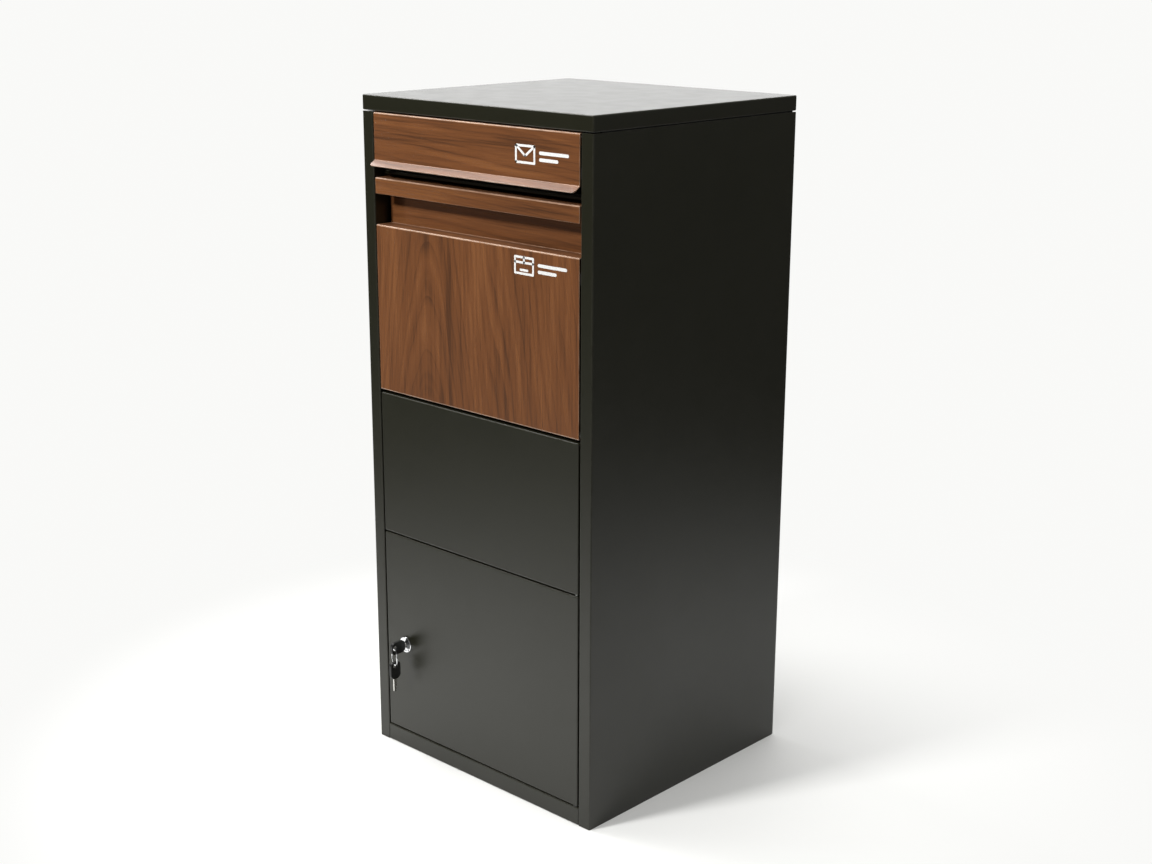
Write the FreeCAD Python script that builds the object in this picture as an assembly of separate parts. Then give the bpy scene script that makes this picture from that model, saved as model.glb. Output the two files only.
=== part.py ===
import FreeCAD, Part
import math
import os

# Free-standing letters and parcels drop box in folded sheet steel, in millimetres.
# +Z is up, +X is to the right for a person facing the front, and the front faces -Y.
# The origin is the middle of the base's underside, on the ground.

V = FreeCAD.Vector
X_AXIS = V(1, 0, 0)
Y_AXIS = V(0, 1, 0)
Z_AXIS = V(0, 0, 1)
SIDES = (-1, 1)

# ---- whole cabinet
WIDTH = 450.0
DEPTH = 430.0
HEIGHT = 1000.0
SHEET = 1.5
BEND = 0.5
HALF_W = WIDTH / 2
FRONT = -DEPTH / 2
BACK = DEPTH / 2
EDGE_R = BEND + SHEET

# ---- lid and body top
LID_RIM = 22.0
LID_GAP = 1.5
LID_RETURN = 20.0
LID_BOTTOM = HEIGHT - LID_RIM
BODY_TOP = LID_BOTTOM - LID_GAP

# ---- front stiles and the panels between them
STILE = 21.5
RETURN_DEPTH = 18.0
SIDE_GAP = 2.5
OPENING = HALF_W - STILE
PANEL = OPENING - SIDE_GAP
RETURN_BACK = FRONT + RETURN_DEPTH
LINER_X = OPENING + SHEET
PLINTH_TOP = 26.5
DOOR_BOTTOM = 28.5
DOOR_TOP = 346.0
MIDDLE_BOTTOM = 348.5
MIDDLE_TOP = 565.0

# ---- letter flap: hangs from its top edge, with a finger lip along its lower edge
FLAP_TOP = 976.0
FLAP_FOLD = 910.0
LIP_OUT = 11.0
LIP_DROP = 7.0
LIP_CORNER = 5.0
FLAP_FLANGE = 10.0
FLAP_PIN_Y = FRONT + 4.0
FLAP_PIN_Z = FLAP_TOP - 4.5
FLAP_PIN_R = 2.0

# ---- parcel door and its hopper: hinged along the lower edge
PARCEL_BOTTOM = 569.5
LEDGE = 815.5
PARCEL_TOP = 883.5
GRIP_BOTTOM = 860.5
RECESS = 28.0
PARCEL_FLANGE = 12.0
HOPPER_Y = FRONT + 5.5
HOPPER_Z = PARCEL_BOTTOM + 6.0
HOPPER_R = 300.0
HOPPER_SLOPE = 35.0
HOPPER_OPEN = 50.0
HOPPER_PIN_R = 2.5
CHEEK_X = 195.0
STUD_R = 5.0
STUD_ORBIT = 280.0
STUD_ANGLE = 20.0

# ---- retrieval door: hinged along its right edge
DOOR_PIN_X = PANEL - 6.0
DOOR_PIN_Y = FRONT + 5.0
DOOR_PIN_R = 2.5
DOOR_PIN_HEAD = 3.3

# ---- running clearance on every hinge pin
RUN = 0.05

# ---- inner fittings
SILL_Y = FRONT + 20.0
SILL_BOTTOM = 886.0
SILL_HIGH = 6.0
CHUTE_SLOPE = 20.0
CHUTE_END = 150.0
HEADER_BOTTOM = 955.0
BAFFLE_TIP_Y = 105.0
BAFFLE_TIP_Z = 640.0
BAFFLE_ROOT_Z = 736.0
LINER_BOTTOM = 350.0
LINER_TOP = 972.0

# ---- cam lock
LOCK_X = -158.0
LOCK_Z = 173.0
BEZEL_R = 12.5
BEZEL_HIGH = 3.5
BARREL_R = 9.5
PLUG_R = 6.5
BARREL_BACK = -195.0
CAM_REACH = 56.0
CAM_WIDE = 16.0
CAM_THICK = 2.5
CAM_FRONT = BARREL_BACK + 0.5
DRIVE = 7.0

# ---- keys and split ring
BOW_LONG = 27.0
BOW_HALF = 9.5
BOW_THICK = 5.0
BOW_HOLE_R = 4.0
BOW_HOLE = 20.8
BLADE_LONG = 22.0
BLADE_HALF = 3.0
BLADE_THICK = 2.0
TANG = 10.0
KEY_SHOULDER_Y = FRONT - BEZEL_HIGH - 0.5
RING_R = 12.0
RING_WIRE = 1.1
RING_TWIST = 22.0
RING_DROP = 2.0

# ---- fixings to the ground and to a wall
ANCHOR_X = 165.0
ANCHOR_Y = 150.0
ANCHOR_R = 5.5
WALL_X = 150.0
WALL_Z = (250.0, 850.0)
WALL_R = 4.0
RIVET_X = HALF_W - 11.0
RIVET_R = 2.0
RIVET_COUNT = 6
LID_SCREW_Y = 150.0
LID_SCREW_R = 2.0


# ------------------------------------------------------------------ building blocks

def box(x0, x1, y0, y1, z0, z1):
    return Part.makeBox(x1 - x0, y1 - y0, z1 - z0, V(x0, y0, z0))


def rod(radius, start, end):
    along = end - start
    return Part.makeCylinder(radius, along.Length, start, along)


def mirrored(solid):
    return solid.mirror(V(0, 0, 0), X_AXIS)


def on_plane(plane, level):
    """Place of a flat point (a, b) on one of the three main planes."""
    if plane == "xy":
        return lambda p: V(p.x, p.y, level)
    if plane == "yz":
        return lambda p: V(level, p.x, p.y)
    return lambda p: V(p.x, level, p.y)


def outline(points, radii, place):
    """Closed wire through flat points, with each corner rounded by its own radius."""
    corners = []
    for i, corner in enumerate(points):
        before = (points[i - 1] - corner).normalize()
        after = (points[(i + 1) % len(points)] - corner).normalize()
        radius = radii[i]
        if radius == 0:
            corners.append((corner, None, corner))
            continue
        half = before.getAngle(after) / 2
        cut = radius / math.tan(half)
        centre = corner + (before + after).normalize() * (radius / math.sin(half))
        middle = centre + (corner - centre).normalize() * radius
        corners.append((corner + before * cut, middle, corner + after * cut))
    edges = []
    for i, (start, middle, end) in enumerate(corners):
        if middle:
            edges.append(Part.Arc(place(start), place(middle), place(end)).toShape())
        following = corners[(i + 1) % len(corners)][0]
        if (following - end).Length > 1e-6:
            edges.append(Part.LineSegment(place(end), place(following)).toShape())
    return Part.Wire(edges)


def prism(points, radii, plane, start, end):
    """Solid with a flat rounded outline, drawn at level start and extruded to level end."""
    along = {"xy": Z_AXIS, "yz": X_AXIS, "xz": Y_AXIS}[plane] * (end - start)
    flat = [V(a, b, 0) for a, b in points]
    return Part.Face(outline(flat, radii, on_plane(plane, start))).extrude(along)


def folded(path, plane, start, end, thickness=SHEET, bend=BEND):
    """Folded sheet: the path is one face of the sheet, and the metal lies to its left."""
    points = [V(a, b, 0) for a, b in path]
    runs = [(points[i + 1] - points[i]).normalize() for i in range(len(points) - 1)]
    lefts = [V(-run.y, run.x, 0) for run in runs]
    far = [points[0] + lefts[0] * thickness]
    near_radii = [0]
    far_radii = [0]
    for i in range(1, len(points) - 1):
        spread = 1 + lefts[i - 1].dot(lefts[i])
        far.append(points[i] + (lefts[i - 1] + lefts[i]) * (thickness / spread))
        turns_left = runs[i - 1].cross(runs[i]).z > 0
        near_radii.append(bend + thickness if turns_left else bend)
        far_radii.append(bend if turns_left else bend + thickness)
    far.append(points[-1] + lefts[-1] * thickness)
    near_radii.append(0)
    far_radii.append(0)
    loop = points + far[::-1]
    return prism([(p.x, p.y) for p in loop], near_radii + far_radii[::-1], plane, start, end)


def front_tray(half_width, z0, z1):
    """Shallow panel with four returned edges, open at the back."""
    shell = box(-half_width, half_width, FRONT, RETURN_BACK, z0, z1)
    rim = [e for e in shell.Edges if e.BoundBox.YMax < FRONT + 0.01]
    shell = shell.makeFillet(EDGE_R, rim)
    hollow = box(-half_width + SHEET, half_width - SHEET, FRONT + SHEET, RETURN_BACK + 1,
                 z0 + SHEET, z1 - SHEET)
    return shell.cut(hollow)


def polar(angle, radius):
    """Point in the YZ plane at an angle above the +Y direction, around the hopper's hinge."""
    turn = math.radians(angle)
    return HOPPER_Y + radius * math.cos(turn), HOPPER_Z + radius * math.sin(turn)


# ------------------------------------------------------------------ cabinet

def side_panel():
    """Right-hand side panel: front stile with its return, side wall, rear and top flanges."""
    path = [(OPENING, RETURN_BACK), (OPENING, FRONT), (HALF_W, FRONT),
            (HALF_W, BACK - SHEET), (LINER_X, BACK - SHEET)]
    wall = folded(path, "xy", 0, BODY_TOP)
    top = prism([(OPENING, FRONT), (HALF_W, FRONT), (HALF_W, BACK - SHEET), (OPENING, BACK - SHEET)],
                [EDGE_R, EDGE_R, EDGE_R, 0], "xy", BODY_TOP - SHEET, BODY_TOP)
    panel = wall.fuse(top).removeSplitter()
    pins = ((FLAP_PIN_Y, FLAP_PIN_Z, FLAP_PIN_R), (HOPPER_Y, HOPPER_Z, HOPPER_PIN_R))
    for y, z, radius in pins:
        panel = panel.cut(rod(radius, V(OPENING - 1, y, z), V(LINER_X + 1, y, z)))
    for z in rivet_heights():
        panel = panel.cut(rod(RIVET_R, V(RIVET_X, BACK - 5, z), V(RIVET_X, BACK, z)))
    for y in (-LID_SCREW_Y, LID_SCREW_Y):
        panel = panel.cut(lid_screw_hole(RIVET_X, y))
    return panel


def rivet_heights():
    low = 60.0
    high = BODY_TOP - 60.0
    return [low + (high - low) * i / (RIVET_COUNT - 1) for i in range(RIVET_COUNT)]


def lid_screw_hole(x, y):
    return rod(LID_SCREW_R, V(x, y, BODY_TOP - 5), V(x, y, LID_BOTTOM + 5))


def back_panel():
    half = HALF_W - 1.0
    path = [(BACK, 0), (BACK, BODY_TOP), (BACK - RETURN_DEPTH, BODY_TOP)]
    panel = folded(path, "yz", -half, half)
    for side in SIDES:
        x0, x1 = sorted((side * OPENING, side * (HALF_W + 1)))
        panel = panel.cut(box(x0, x1, 0, BACK - SHEET, BODY_TOP - 5, BODY_TOP + 1))
        for z in rivet_heights():
            x = side * RIVET_X
            panel = panel.cut(rod(RIVET_R, V(x, BACK - 5, z), V(x, BACK + 1, z)))
        for z in WALL_Z:
            x = side * WALL_X
            panel = panel.cut(rod(WALL_R, V(x, BACK - 5, z), V(x, BACK + 1, z)))
    return panel


def back_rivets():
    """Blind rivets that hold the back panel to the rear flanges of the side panels."""
    rivets = []
    for side in SIDES:
        for z in rivet_heights():
            x = side * RIVET_X
            inner = BACK - 2 * SHEET
            head = rod(3.5, V(x, BACK, z), V(x, BACK + 1.2, z))
            head = head.makeFillet(0.9, [e for e in head.Edges if e.BoundBox.YMin > BACK + 1])
            shank = rod(RIVET_R, V(x, inner, z), V(x, BACK, z))
            bulb = rod(2.8, V(x, inner - 2.5, z), V(x, inner, z))
            rivets.append(head.fuse([shank, bulb]).removeSplitter())
    return Part.makeCompound(rivets)


def base_panel():
    """Floor tray with upturned edges and four anchor holes."""
    half = HALF_W - SHEET
    rear = BACK - 2 * SHEET
    tray = box(-half, half, RETURN_BACK, rear, 0, 20)
    tray = tray.makeFillet(EDGE_R, [e for e in tray.Edges if e.BoundBox.ZLength > 1])
    tray = tray.cut(box(-half + SHEET, half - SHEET, RETURN_BACK + SHEET, rear - SHEET, SHEET, 21))
    for x in (-ANCHOR_X, ANCHOR_X):
        for y in (-ANCHOR_Y, ANCHOR_Y):
            tray = tray.cut(rod(ANCHOR_R, V(x, y, -1), V(x, y, 5)))
    return tray


def compartment_mat():
    """Ribbed rubber mat on the floor tray, with openings over the anchor holes."""
    thick = 3.0
    mat = box(-215, 215, -190, 205, SHEET, SHEET + thick)
    for x in (-ANCHOR_X, ANCHOR_X):
        for y in (-ANCHOR_Y, ANCHOR_Y):
            mat = mat.cut(rod(14, V(x, y, 0), V(x, y, 10)))
    return mat


def front_plinth():
    plinth = front_tray(OPENING, 0, PLINTH_TOP)
    hole = rod(DOOR_PIN_R, V(DOOR_PIN_X, DOOR_PIN_Y, PLINTH_TOP - 5),
               V(DOOR_PIN_X, DOOR_PIN_Y, PLINTH_TOP + 1))
    return plinth.cut(hole)


def middle_front_panel():
    panel = front_tray(PANEL, MIDDLE_BOTTOM, MIDDLE_TOP)
    hole = rod(DOOR_PIN_R, V(DOOR_PIN_X, DOOR_PIN_Y, MIDDLE_BOTTOM - 1),
               V(DOOR_PIN_X, DOOR_PIN_Y, MIDDLE_BOTTOM + 5))
    return panel.cut(hole)


def panel_spacers():
    """Blocks that fasten the middle panel to the stile returns and keep the side gaps."""
    blocks = []
    for side in SIDES:
        x0, x1 = sorted((side * PANEL, side * OPENING))
        for z in (375.0, 520.0):
            blocks.append(box(x0, x1, FRONT + 5, RETURN_BACK - 2, z, z + 20))
    return Part.makeCompound(blocks)


def lid():
    cap = box(-HALF_W, HALF_W, FRONT, BACK, LID_BOTTOM, HEIGHT)
    upright = [e for e in cap.Edges if e.BoundBox.ZLength > 1]
    cap = cap.makeFillet(EDGE_R, upright)
    cap = cap.makeFillet(SHEET, [e for e in cap.Edges if e.BoundBox.ZMin > HEIGHT - 0.01])
    inner = box(-HALF_W + SHEET, HALF_W - SHEET, FRONT + SHEET, BACK - SHEET,
                LID_BOTTOM + SHEET, HEIGHT - SHEET)
    mouth = box(-HALF_W + LID_RETURN, HALF_W - LID_RETURN, FRONT + LID_RETURN, BACK - LID_RETURN,
                LID_BOTTOM - 1, LID_BOTTOM + 3)
    cap = cap.cut(inner).cut(mouth)
    for x in (-RIVET_X, RIVET_X):
        for y in (-LID_SCREW_Y, LID_SCREW_Y):
            cap = cap.cut(lid_screw_hole(x, y))
    return cap


def lid_seal():
    """Rubber strip between the lid and the top flanges, set back from the outside faces."""
    seal = box(-221, 221, SILL_Y, 211, BODY_TOP, LID_BOTTOM)
    seal = seal.cut(box(-207, 207, SILL_Y + 14, 199, BODY_TOP - 1, LID_BOTTOM + 1))
    for x in (-RIVET_X, RIVET_X):
        for y in (-LID_SCREW_Y, LID_SCREW_Y):
            seal = seal.cut(lid_screw_hole(x, y))
    return seal


def lid_screws():
    screws = []
    under = BODY_TOP - SHEET
    for x in (-RIVET_X, RIVET_X):
        for y in (-LID_SCREW_Y, LID_SCREW_Y):
            head = rod(4.0, V(x, y, under - 3), V(x, y, under))
            shank = rod(LID_SCREW_R, V(x, y, under), V(x, y, LID_BOTTOM + 4))
            screws.append(head.fuse(shank).removeSplitter())
    return Part.makeCompound(screws)


def top_front_rail():
    """Header channel behind the letter flap, which carries the lid's front edge."""
    y = FRONT + 19
    path = [(y + 18, BODY_TOP), (y, BODY_TOP), (y, HEADER_BOTTOM), (y + 10, HEADER_BOTTOM)]
    return folded(path, "yz", -OPENING, OPENING)


def letter_sill():
    """Channel along the lower edge of the letter opening."""
    top = SILL_BOTTOM + SILL_HIGH
    path = [(SILL_Y + 17, top), (SILL_Y, top), (SILL_Y, SILL_BOTTOM), (SILL_Y + 17, SILL_BOTTOM)]
    return folded(path, "yz", -LINER_X, LINER_X)


def letter_chute():
    """Sloping plate that leads letters over the hopper to the rear of the cabinet."""
    top = SILL_BOTTOM + SILL_HIGH
    knee = SILL_Y + 19
    drop = (CHUTE_END - knee) * math.tan(math.radians(CHUTE_SLOPE))
    path = [(SILL_Y + 5, top), (knee, top), (CHUTE_END, top - drop)]
    return folded(path, "yz", -LINER_X, LINER_X)


def anti_fishing_baffle():
    inside = BACK - SHEET
    path = [(BAFFLE_TIP_Y, BAFFLE_TIP_Z), (inside, BAFFLE_ROOT_Z), (inside, BAFFLE_ROOT_Z + 26)]
    return folded(path, "yz", -LINER_X, LINER_X)


def side_liner():
    """Right-hand inner wall beside the hopper, behind the stile return."""
    return box(LINER_X, LINER_X + SHEET, FRONT + 11, BACK - 3.5, LINER_BOTTOM, LINER_TOP)


def stop_brackets():
    """Welded tabs on the stile returns that carry the rubber stops."""
    tabs = []
    for side in SIDES:
        for inner, z in ((197.0, 916.0), (198.0, 778.0)):
            x0, x1 = sorted((side * inner, side * OPENING))
            tabs.append(box(x0, x1, FRONT + 5, FRONT + 5 + SHEET, z, z + 18))
    return Part.makeCompound(tabs)


def rubber_stops():
    """Pads that the closed letter flap and parcel door rest on."""
    pads = []
    for side in SIDES:
        for z in (918.0, 780.0):
            x0, x1 = sorted((side * 199, side * 202.5))
            pads.append(box(x0, x1, FRONT + SHEET + 0.3, FRONT + 5, z, z + 14))
    return Part.makeCompound(pads)


def hopper_stop_lugs():
    """Lugs on the liners that meet the hopper's studs when the parcel door is fully open."""
    gap = math.degrees((2 * STUD_R + 0.5) / STUD_ORBIT)
    y, z = polar(STUD_ANGLE + HOPPER_OPEN + gap, STUD_ORBIT)
    return Part.makeCompound([rod(STUD_R, V(side * 198, y, z), V(side * LINER_X, y, z)) for side in SIDES])


def lock_keeper():
    """Angle behind the left stile: a stop for the door's edge and the catch for the cam."""
    leg = RETURN_BACK + 0.5
    return folded([(-LINER_X, FRONT + 3), (-LINER_X, leg), (-192, leg)], "xy", 32, 338)


# ------------------------------------------------------------------ letter flap

def letter_flap():
    """One folded sheet: top flange, face, finger lip and an ear at each end for the pins."""
    path = [(FRONT + FLAP_FLANGE, FLAP_TOP), (FRONT, FLAP_TOP), (FRONT, FLAP_FOLD),
            (FRONT - LIP_OUT, FLAP_FOLD - LIP_DROP)]
    flap = folded(path, "yz", -PANEL, PANEL)
    tip = FRONT - LIP_OUT
    for side in SIDES:
        x0, x1 = sorted((side * (PANEL - LIP_CORNER), side * (PANEL + 1)))
        corner = box(x0, x1, tip - 2, tip + LIP_CORNER, FLAP_FOLD - 20, FLAP_FOLD + 2)
        post_x = side * (PANEL - LIP_CORNER)
        post = rod(LIP_CORNER, V(post_x, tip + LIP_CORNER, FLAP_FOLD - 21),
                   V(post_x, tip + LIP_CORNER, FLAP_FOLD + 3))
        flap = flap.cut(corner.cut(post))
        x0, x1 = sorted((side * (PANEL - SHEET), side * PANEL))
        ear = box(x0, x1, FRONT + SHEET, FRONT + FLAP_FLANGE, FLAP_TOP - 16, FLAP_TOP - SHEET)
        flap = flap.fuse(ear)
    flap = flap.removeSplitter()
    bore = rod(FLAP_PIN_R + RUN, V(-HALF_W, FLAP_PIN_Y, FLAP_PIN_Z), V(HALF_W, FLAP_PIN_Y, FLAP_PIN_Z))
    return flap.cut(bore)


def headed_pins(y, z, radius, head_radius, inner):
    """Pair of pins riveted in the stile returns, pointing into the opening."""
    pins = []
    for side in SIDES:
        shank = rod(radius, V(side * inner, y, z), V(side * LINER_X, y, z))
        head = rod(head_radius, V(side * LINER_X, y, z), V(side * (LINER_X + SHEET), y, z))
        pins.append(shank.fuse(head).removeSplitter())
    return Part.makeCompound(pins)


# ------------------------------------------------------------------ parcel door and hopper

def parcel_door_skin():
    """One folded sheet: lower flange, face, ledge, recess back, and the hooked grip strip."""
    grip = FRONT + SHEET
    path = [(grip, GRIP_BOTTOM), (grip, PARCEL_TOP - SHEET), (FRONT + RECESS, PARCEL_TOP - SHEET),
            (FRONT + RECESS, LEDGE), (FRONT, LEDGE), (FRONT, PARCEL_BOTTOM),
            (FRONT + PARCEL_FLANGE, PARCEL_BOTTOM)]
    return folded(path, "yz", -PANEL, PANEL)


def hopper_cheek():
    """Right-hand sector plate that joins the door to the hopper plate."""
    start, end = CHEEK_X, CHEEK_X + SHEET
    place = on_plane("yz", start)
    hinge = place(V(HOPPER_Y, HOPPER_Z, 0))
    low, middle, high = [place(V(*polar(angle, HOPPER_R), 0))
                         for angle in (-HOPPER_SLOPE, (90 - HOPPER_SLOPE) / 2, 90)]
    rim = Part.Wire([Part.LineSegment(hinge, low).toShape(), Part.Arc(low, middle, high).toShape(),
                     Part.LineSegment(high, hinge).toShape()])
    plate = Part.Face(rim).extrude(X_AXIS * (end - start))
    front = box(start, end, FRONT + SHEET, HOPPER_Y, HOPPER_Z, LEDGE - SHEET)
    ear = rod(4.0, hinge, hinge + X_AXIS * (end - start))
    plate = plate.fuse([front, ear]).removeSplitter()
    recess = box(start - 1, end + 1, FRONT - 1, FRONT + RECESS + SHEET, LEDGE - SHEET, HEIGHT)
    bore = rod(HOPPER_PIN_R + RUN, hinge - X_AXIS, hinge + X_AXIS * 5)
    return plate.cut(recess).cut(bore)


def hopper_plate():
    """Plate that parcels land on: a shelf with the door open, a slide with it closed."""
    hem = polar(-HOPPER_SLOPE, HOPPER_R)
    turn = math.radians(HOPPER_SLOPE)
    fold = (hem[0] - 12 * math.sin(turn), hem[1] - 12 * math.cos(turn))
    return folded([polar(-HOPPER_SLOPE, 9), hem, fold], "yz", -CHEEK_X, CHEEK_X)


def hopper_stop_studs():
    y, z = polar(STUD_ANGLE, STUD_ORBIT)
    outer = CHEEK_X + SHEET
    return Part.makeCompound([rod(STUD_R, V(side * outer, y, z), V(side * 202, y, z)) for side in SIDES])


def hopper_bushes():
    """Nylon bushes on the hinge pins, between the cheeks and the stile returns."""
    bushes = []
    for side in SIDES:
        start = V(side * (CHEEK_X + SHEET), HOPPER_Y, HOPPER_Z)
        end = V(side * (OPENING - 0.5), HOPPER_Y, HOPPER_Z)
        bushes.append(rod(4.0, start, end).cut(rod(HOPPER_PIN_R + RUN, start, end)))
    return Part.makeCompound(bushes)


# ------------------------------------------------------------------ retrieval door

def retrieval_door():
    door = front_tray(PANEL, DOOR_BOTTOM, DOOR_TOP)
    door = door.cut(rod(DOOR_PIN_R + RUN, V(DOOR_PIN_X, DOOR_PIN_Y, 0),
                        V(DOOR_PIN_X, DOOR_PIN_Y, HEIGHT)))
    return door.cut(rod(BARREL_R, V(LOCK_X, FRONT - 1, LOCK_Z), V(LOCK_X, FRONT + 5, LOCK_Z)))


def door_stiffener():
    """Hat-section stiffener welded inside the door."""
    back = FRONT + SHEET
    crest = FRONT + 15
    path = [(30, back), (45, back), (45, crest), (75, crest), (75, back), (90, back)]
    return folded(path, "xy", DOOR_BOTTOM + 12, DOOR_TOP - 12)


def door_hinge_pins():
    """Upright pins: one in the plinth's top flange, one in the middle panel's lower flange."""
    pins = []
    levels = ((PLINTH_TOP - SHEET, -SHEET, DOOR_BOTTOM + 6), (MIDDLE_BOTTOM + SHEET, SHEET, DOOR_TOP - 6))
    for seat, head, tip in levels:
        foot = V(DOOR_PIN_X, DOOR_PIN_Y, seat)
        shank = rod(DOOR_PIN_R, foot, V(DOOR_PIN_X, DOOR_PIN_Y, tip))
        pins.append(shank.fuse(rod(DOOR_PIN_HEAD, foot, foot + Z_AXIS * head)).removeSplitter())
    return Part.makeCompound(pins)


def door_hinge_washer():
    low = V(DOOR_PIN_X, DOOR_PIN_Y, PLINTH_TOP)
    high = V(DOOR_PIN_X, DOOR_PIN_Y, DOOR_BOTTOM - 0.2)
    return rod(4.0, low, high).cut(rod(DOOR_PIN_R, low, high))


# ------------------------------------------------------------------ cam lock

def lock_point(y, x=0.0, z=0.0):
    return V(LOCK_X + x, y, LOCK_Z + z)


def lock_barrel():
    """Round bezel in front of the door and threaded body behind it, bored for the plug."""
    bezel = rod(BEZEL_R, lock_point(FRONT - BEZEL_HIGH), lock_point(FRONT))
    bezel = bezel.makeFillet(1.4, [e for e in bezel.Edges if e.BoundBox.YMax < FRONT - 3])
    body = rod(BARREL_R, lock_point(FRONT), lock_point(BARREL_BACK))
    bore = rod(PLUG_R + RUN, lock_point(FRONT - 10), lock_point(BARREL_BACK + 1))
    return bezel.fuse(body).removeSplitter().cut(bore)


def lock_nut():
    flats = 24.0
    corner = flats / math.sqrt(3)
    points = [(LOCK_X + corner * math.cos(math.radians(60 * i)),
               LOCK_Z + corner * math.sin(math.radians(60 * i))) for i in range(6)]
    start = FRONT + SHEET
    nut = prism(points, [0] * 6, "xz", start, start + 4)
    return nut.cut(rod(BARREL_R, lock_point(start - 1), lock_point(start + 5)))


def lock_plug():
    """Turning plug with a square drive for the cam, a keyway and a screw hole."""
    plug = rod(PLUG_R, lock_point(FRONT - 2.7), lock_point(BARREL_BACK))
    half = DRIVE / 2
    drive = box(LOCK_X - half, LOCK_X + half, BARREL_BACK, BARREL_BACK + 3.5, LOCK_Z - half, LOCK_Z + half)
    wide = BLADE_THICK / 2 + RUN
    high = BLADE_HALF + RUN
    keyway = box(LOCK_X - wide, LOCK_X + wide, FRONT - 5, KEY_SHOULDER_Y + BLADE_LONG + 0.2,
                 LOCK_Z - high, LOCK_Z + high)
    thread = rod(1.5, lock_point(BARREL_BACK - 1), lock_point(BARREL_BACK + 5))
    return plug.fuse(drive).removeSplitter().cut(keyway).cut(thread)


def lock_cam():
    """Flat cam, hanging down when unlocked, with a square hole on the plug's drive."""
    half = CAM_WIDE / 2
    points = [(LOCK_X - half, LOCK_Z + 10), (LOCK_X + half, LOCK_Z + 10),
              (LOCK_X + half, LOCK_Z - CAM_REACH), (LOCK_X - half, LOCK_Z - CAM_REACH)]
    cam = prism(points, [6, 6, 3, 3], "xz", CAM_FRONT, CAM_FRONT + CAM_THICK)
    hole = DRIVE / 2
    return cam.cut(box(LOCK_X - hole, LOCK_X + hole, CAM_FRONT - 1, CAM_FRONT + 4,
                       LOCK_Z - hole, LOCK_Z + hole))


def cam_screw():
    seat = BARREL_BACK + 3.5
    head = rod(5.5, lock_point(seat), lock_point(seat + 2.5))
    head = head.makeFillet(0.8, [e for e in head.Edges if e.BoundBox.YMin > seat + 2])
    shank = rod(1.5, lock_point(BARREL_BACK - 1), lock_point(seat))
    return head.fuse(shank).removeSplitter()


# ------------------------------------------------------------------ keys

def key_blank():
    """Blade and bow of a key that hangs blade down, with its shoulder at the origin."""
    half_t = BLADE_THICK / 2
    points = [(-BLADE_HALF, TANG), (-BLADE_HALF, -BLADE_LONG + 2), (0, -BLADE_LONG),
              (BLADE_HALF, -BLADE_LONG + 2), (BLADE_HALF, TANG)]
    blade = prism(points, [0] * 5, "yz", -half_t, half_t)
    for i, depth in enumerate((1.4, 0.8, 1.8, 1.1, 1.6)):
        level = -5.0 - 3.2 * i
        cut = [(BLADE_HALF + 0.1, level + depth + 0.4), (BLADE_HALF - depth, level + 0.4),
               (BLADE_HALF - depth, level - 0.4), (BLADE_HALF + 0.1, level - depth - 0.4)]
        blade = blade.cut(prism(cut, [0] * 4, "yz", -half_t - 1, half_t + 1))
    half_b = BOW_THICK / 2
    rim = [(-4, 0), (4, 0), (BOW_HALF, 5), (BOW_HALF, BOW_LONG - 3), (6, BOW_LONG),
           (-6, BOW_LONG), (-BOW_HALF, BOW_LONG - 3), (-BOW_HALF, 5)]
    bow = prism(rim, [1, 1, 2, 2, 2, 2, 2, 2], "yz", -half_b, half_b)
    faces = [e for e in bow.Edges if e.BoundBox.XLength < 0.01]
    bow = bow.makeFillet(0.7, faces)
    bow = bow.cut(rod(BOW_HOLE_R, V(-half_b - 1, 0, BOW_HOLE), V(half_b + 1, 0, BOW_HOLE)))
    return blade, bow.cut(box(-half_t, half_t, -BLADE_HALF, BLADE_HALF, -1, TANG))


def key_in_lock(solid):
    turned = solid.copy()
    turned.rotate(V(0, 0, 0), X_AXIS, 90)
    turned.translate(lock_point(KEY_SHOULDER_Y))
    return turned


def ring_top():
    """Middle of the ring's wire where it hangs in the hole of the key that is in the lock."""
    return lock_point(KEY_SHOULDER_Y - BOW_HOLE, z=-RING_DROP)


def key_ring():
    turn = math.radians(RING_TWIST)
    centre = ring_top() - Z_AXIS * RING_R
    return Part.makeTorus(RING_R, RING_WIRE, centre, V(-math.sin(turn), -math.cos(turn), 0))


def spare_key(solid):
    hole = ring_top() - Z_AXIS * (2 * RING_R + RING_DROP)
    hung = solid.copy()
    hung.translate(hole - Z_AXIS * BOW_HOLE)
    return hung


# ------------------------------------------------------------------ files

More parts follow.
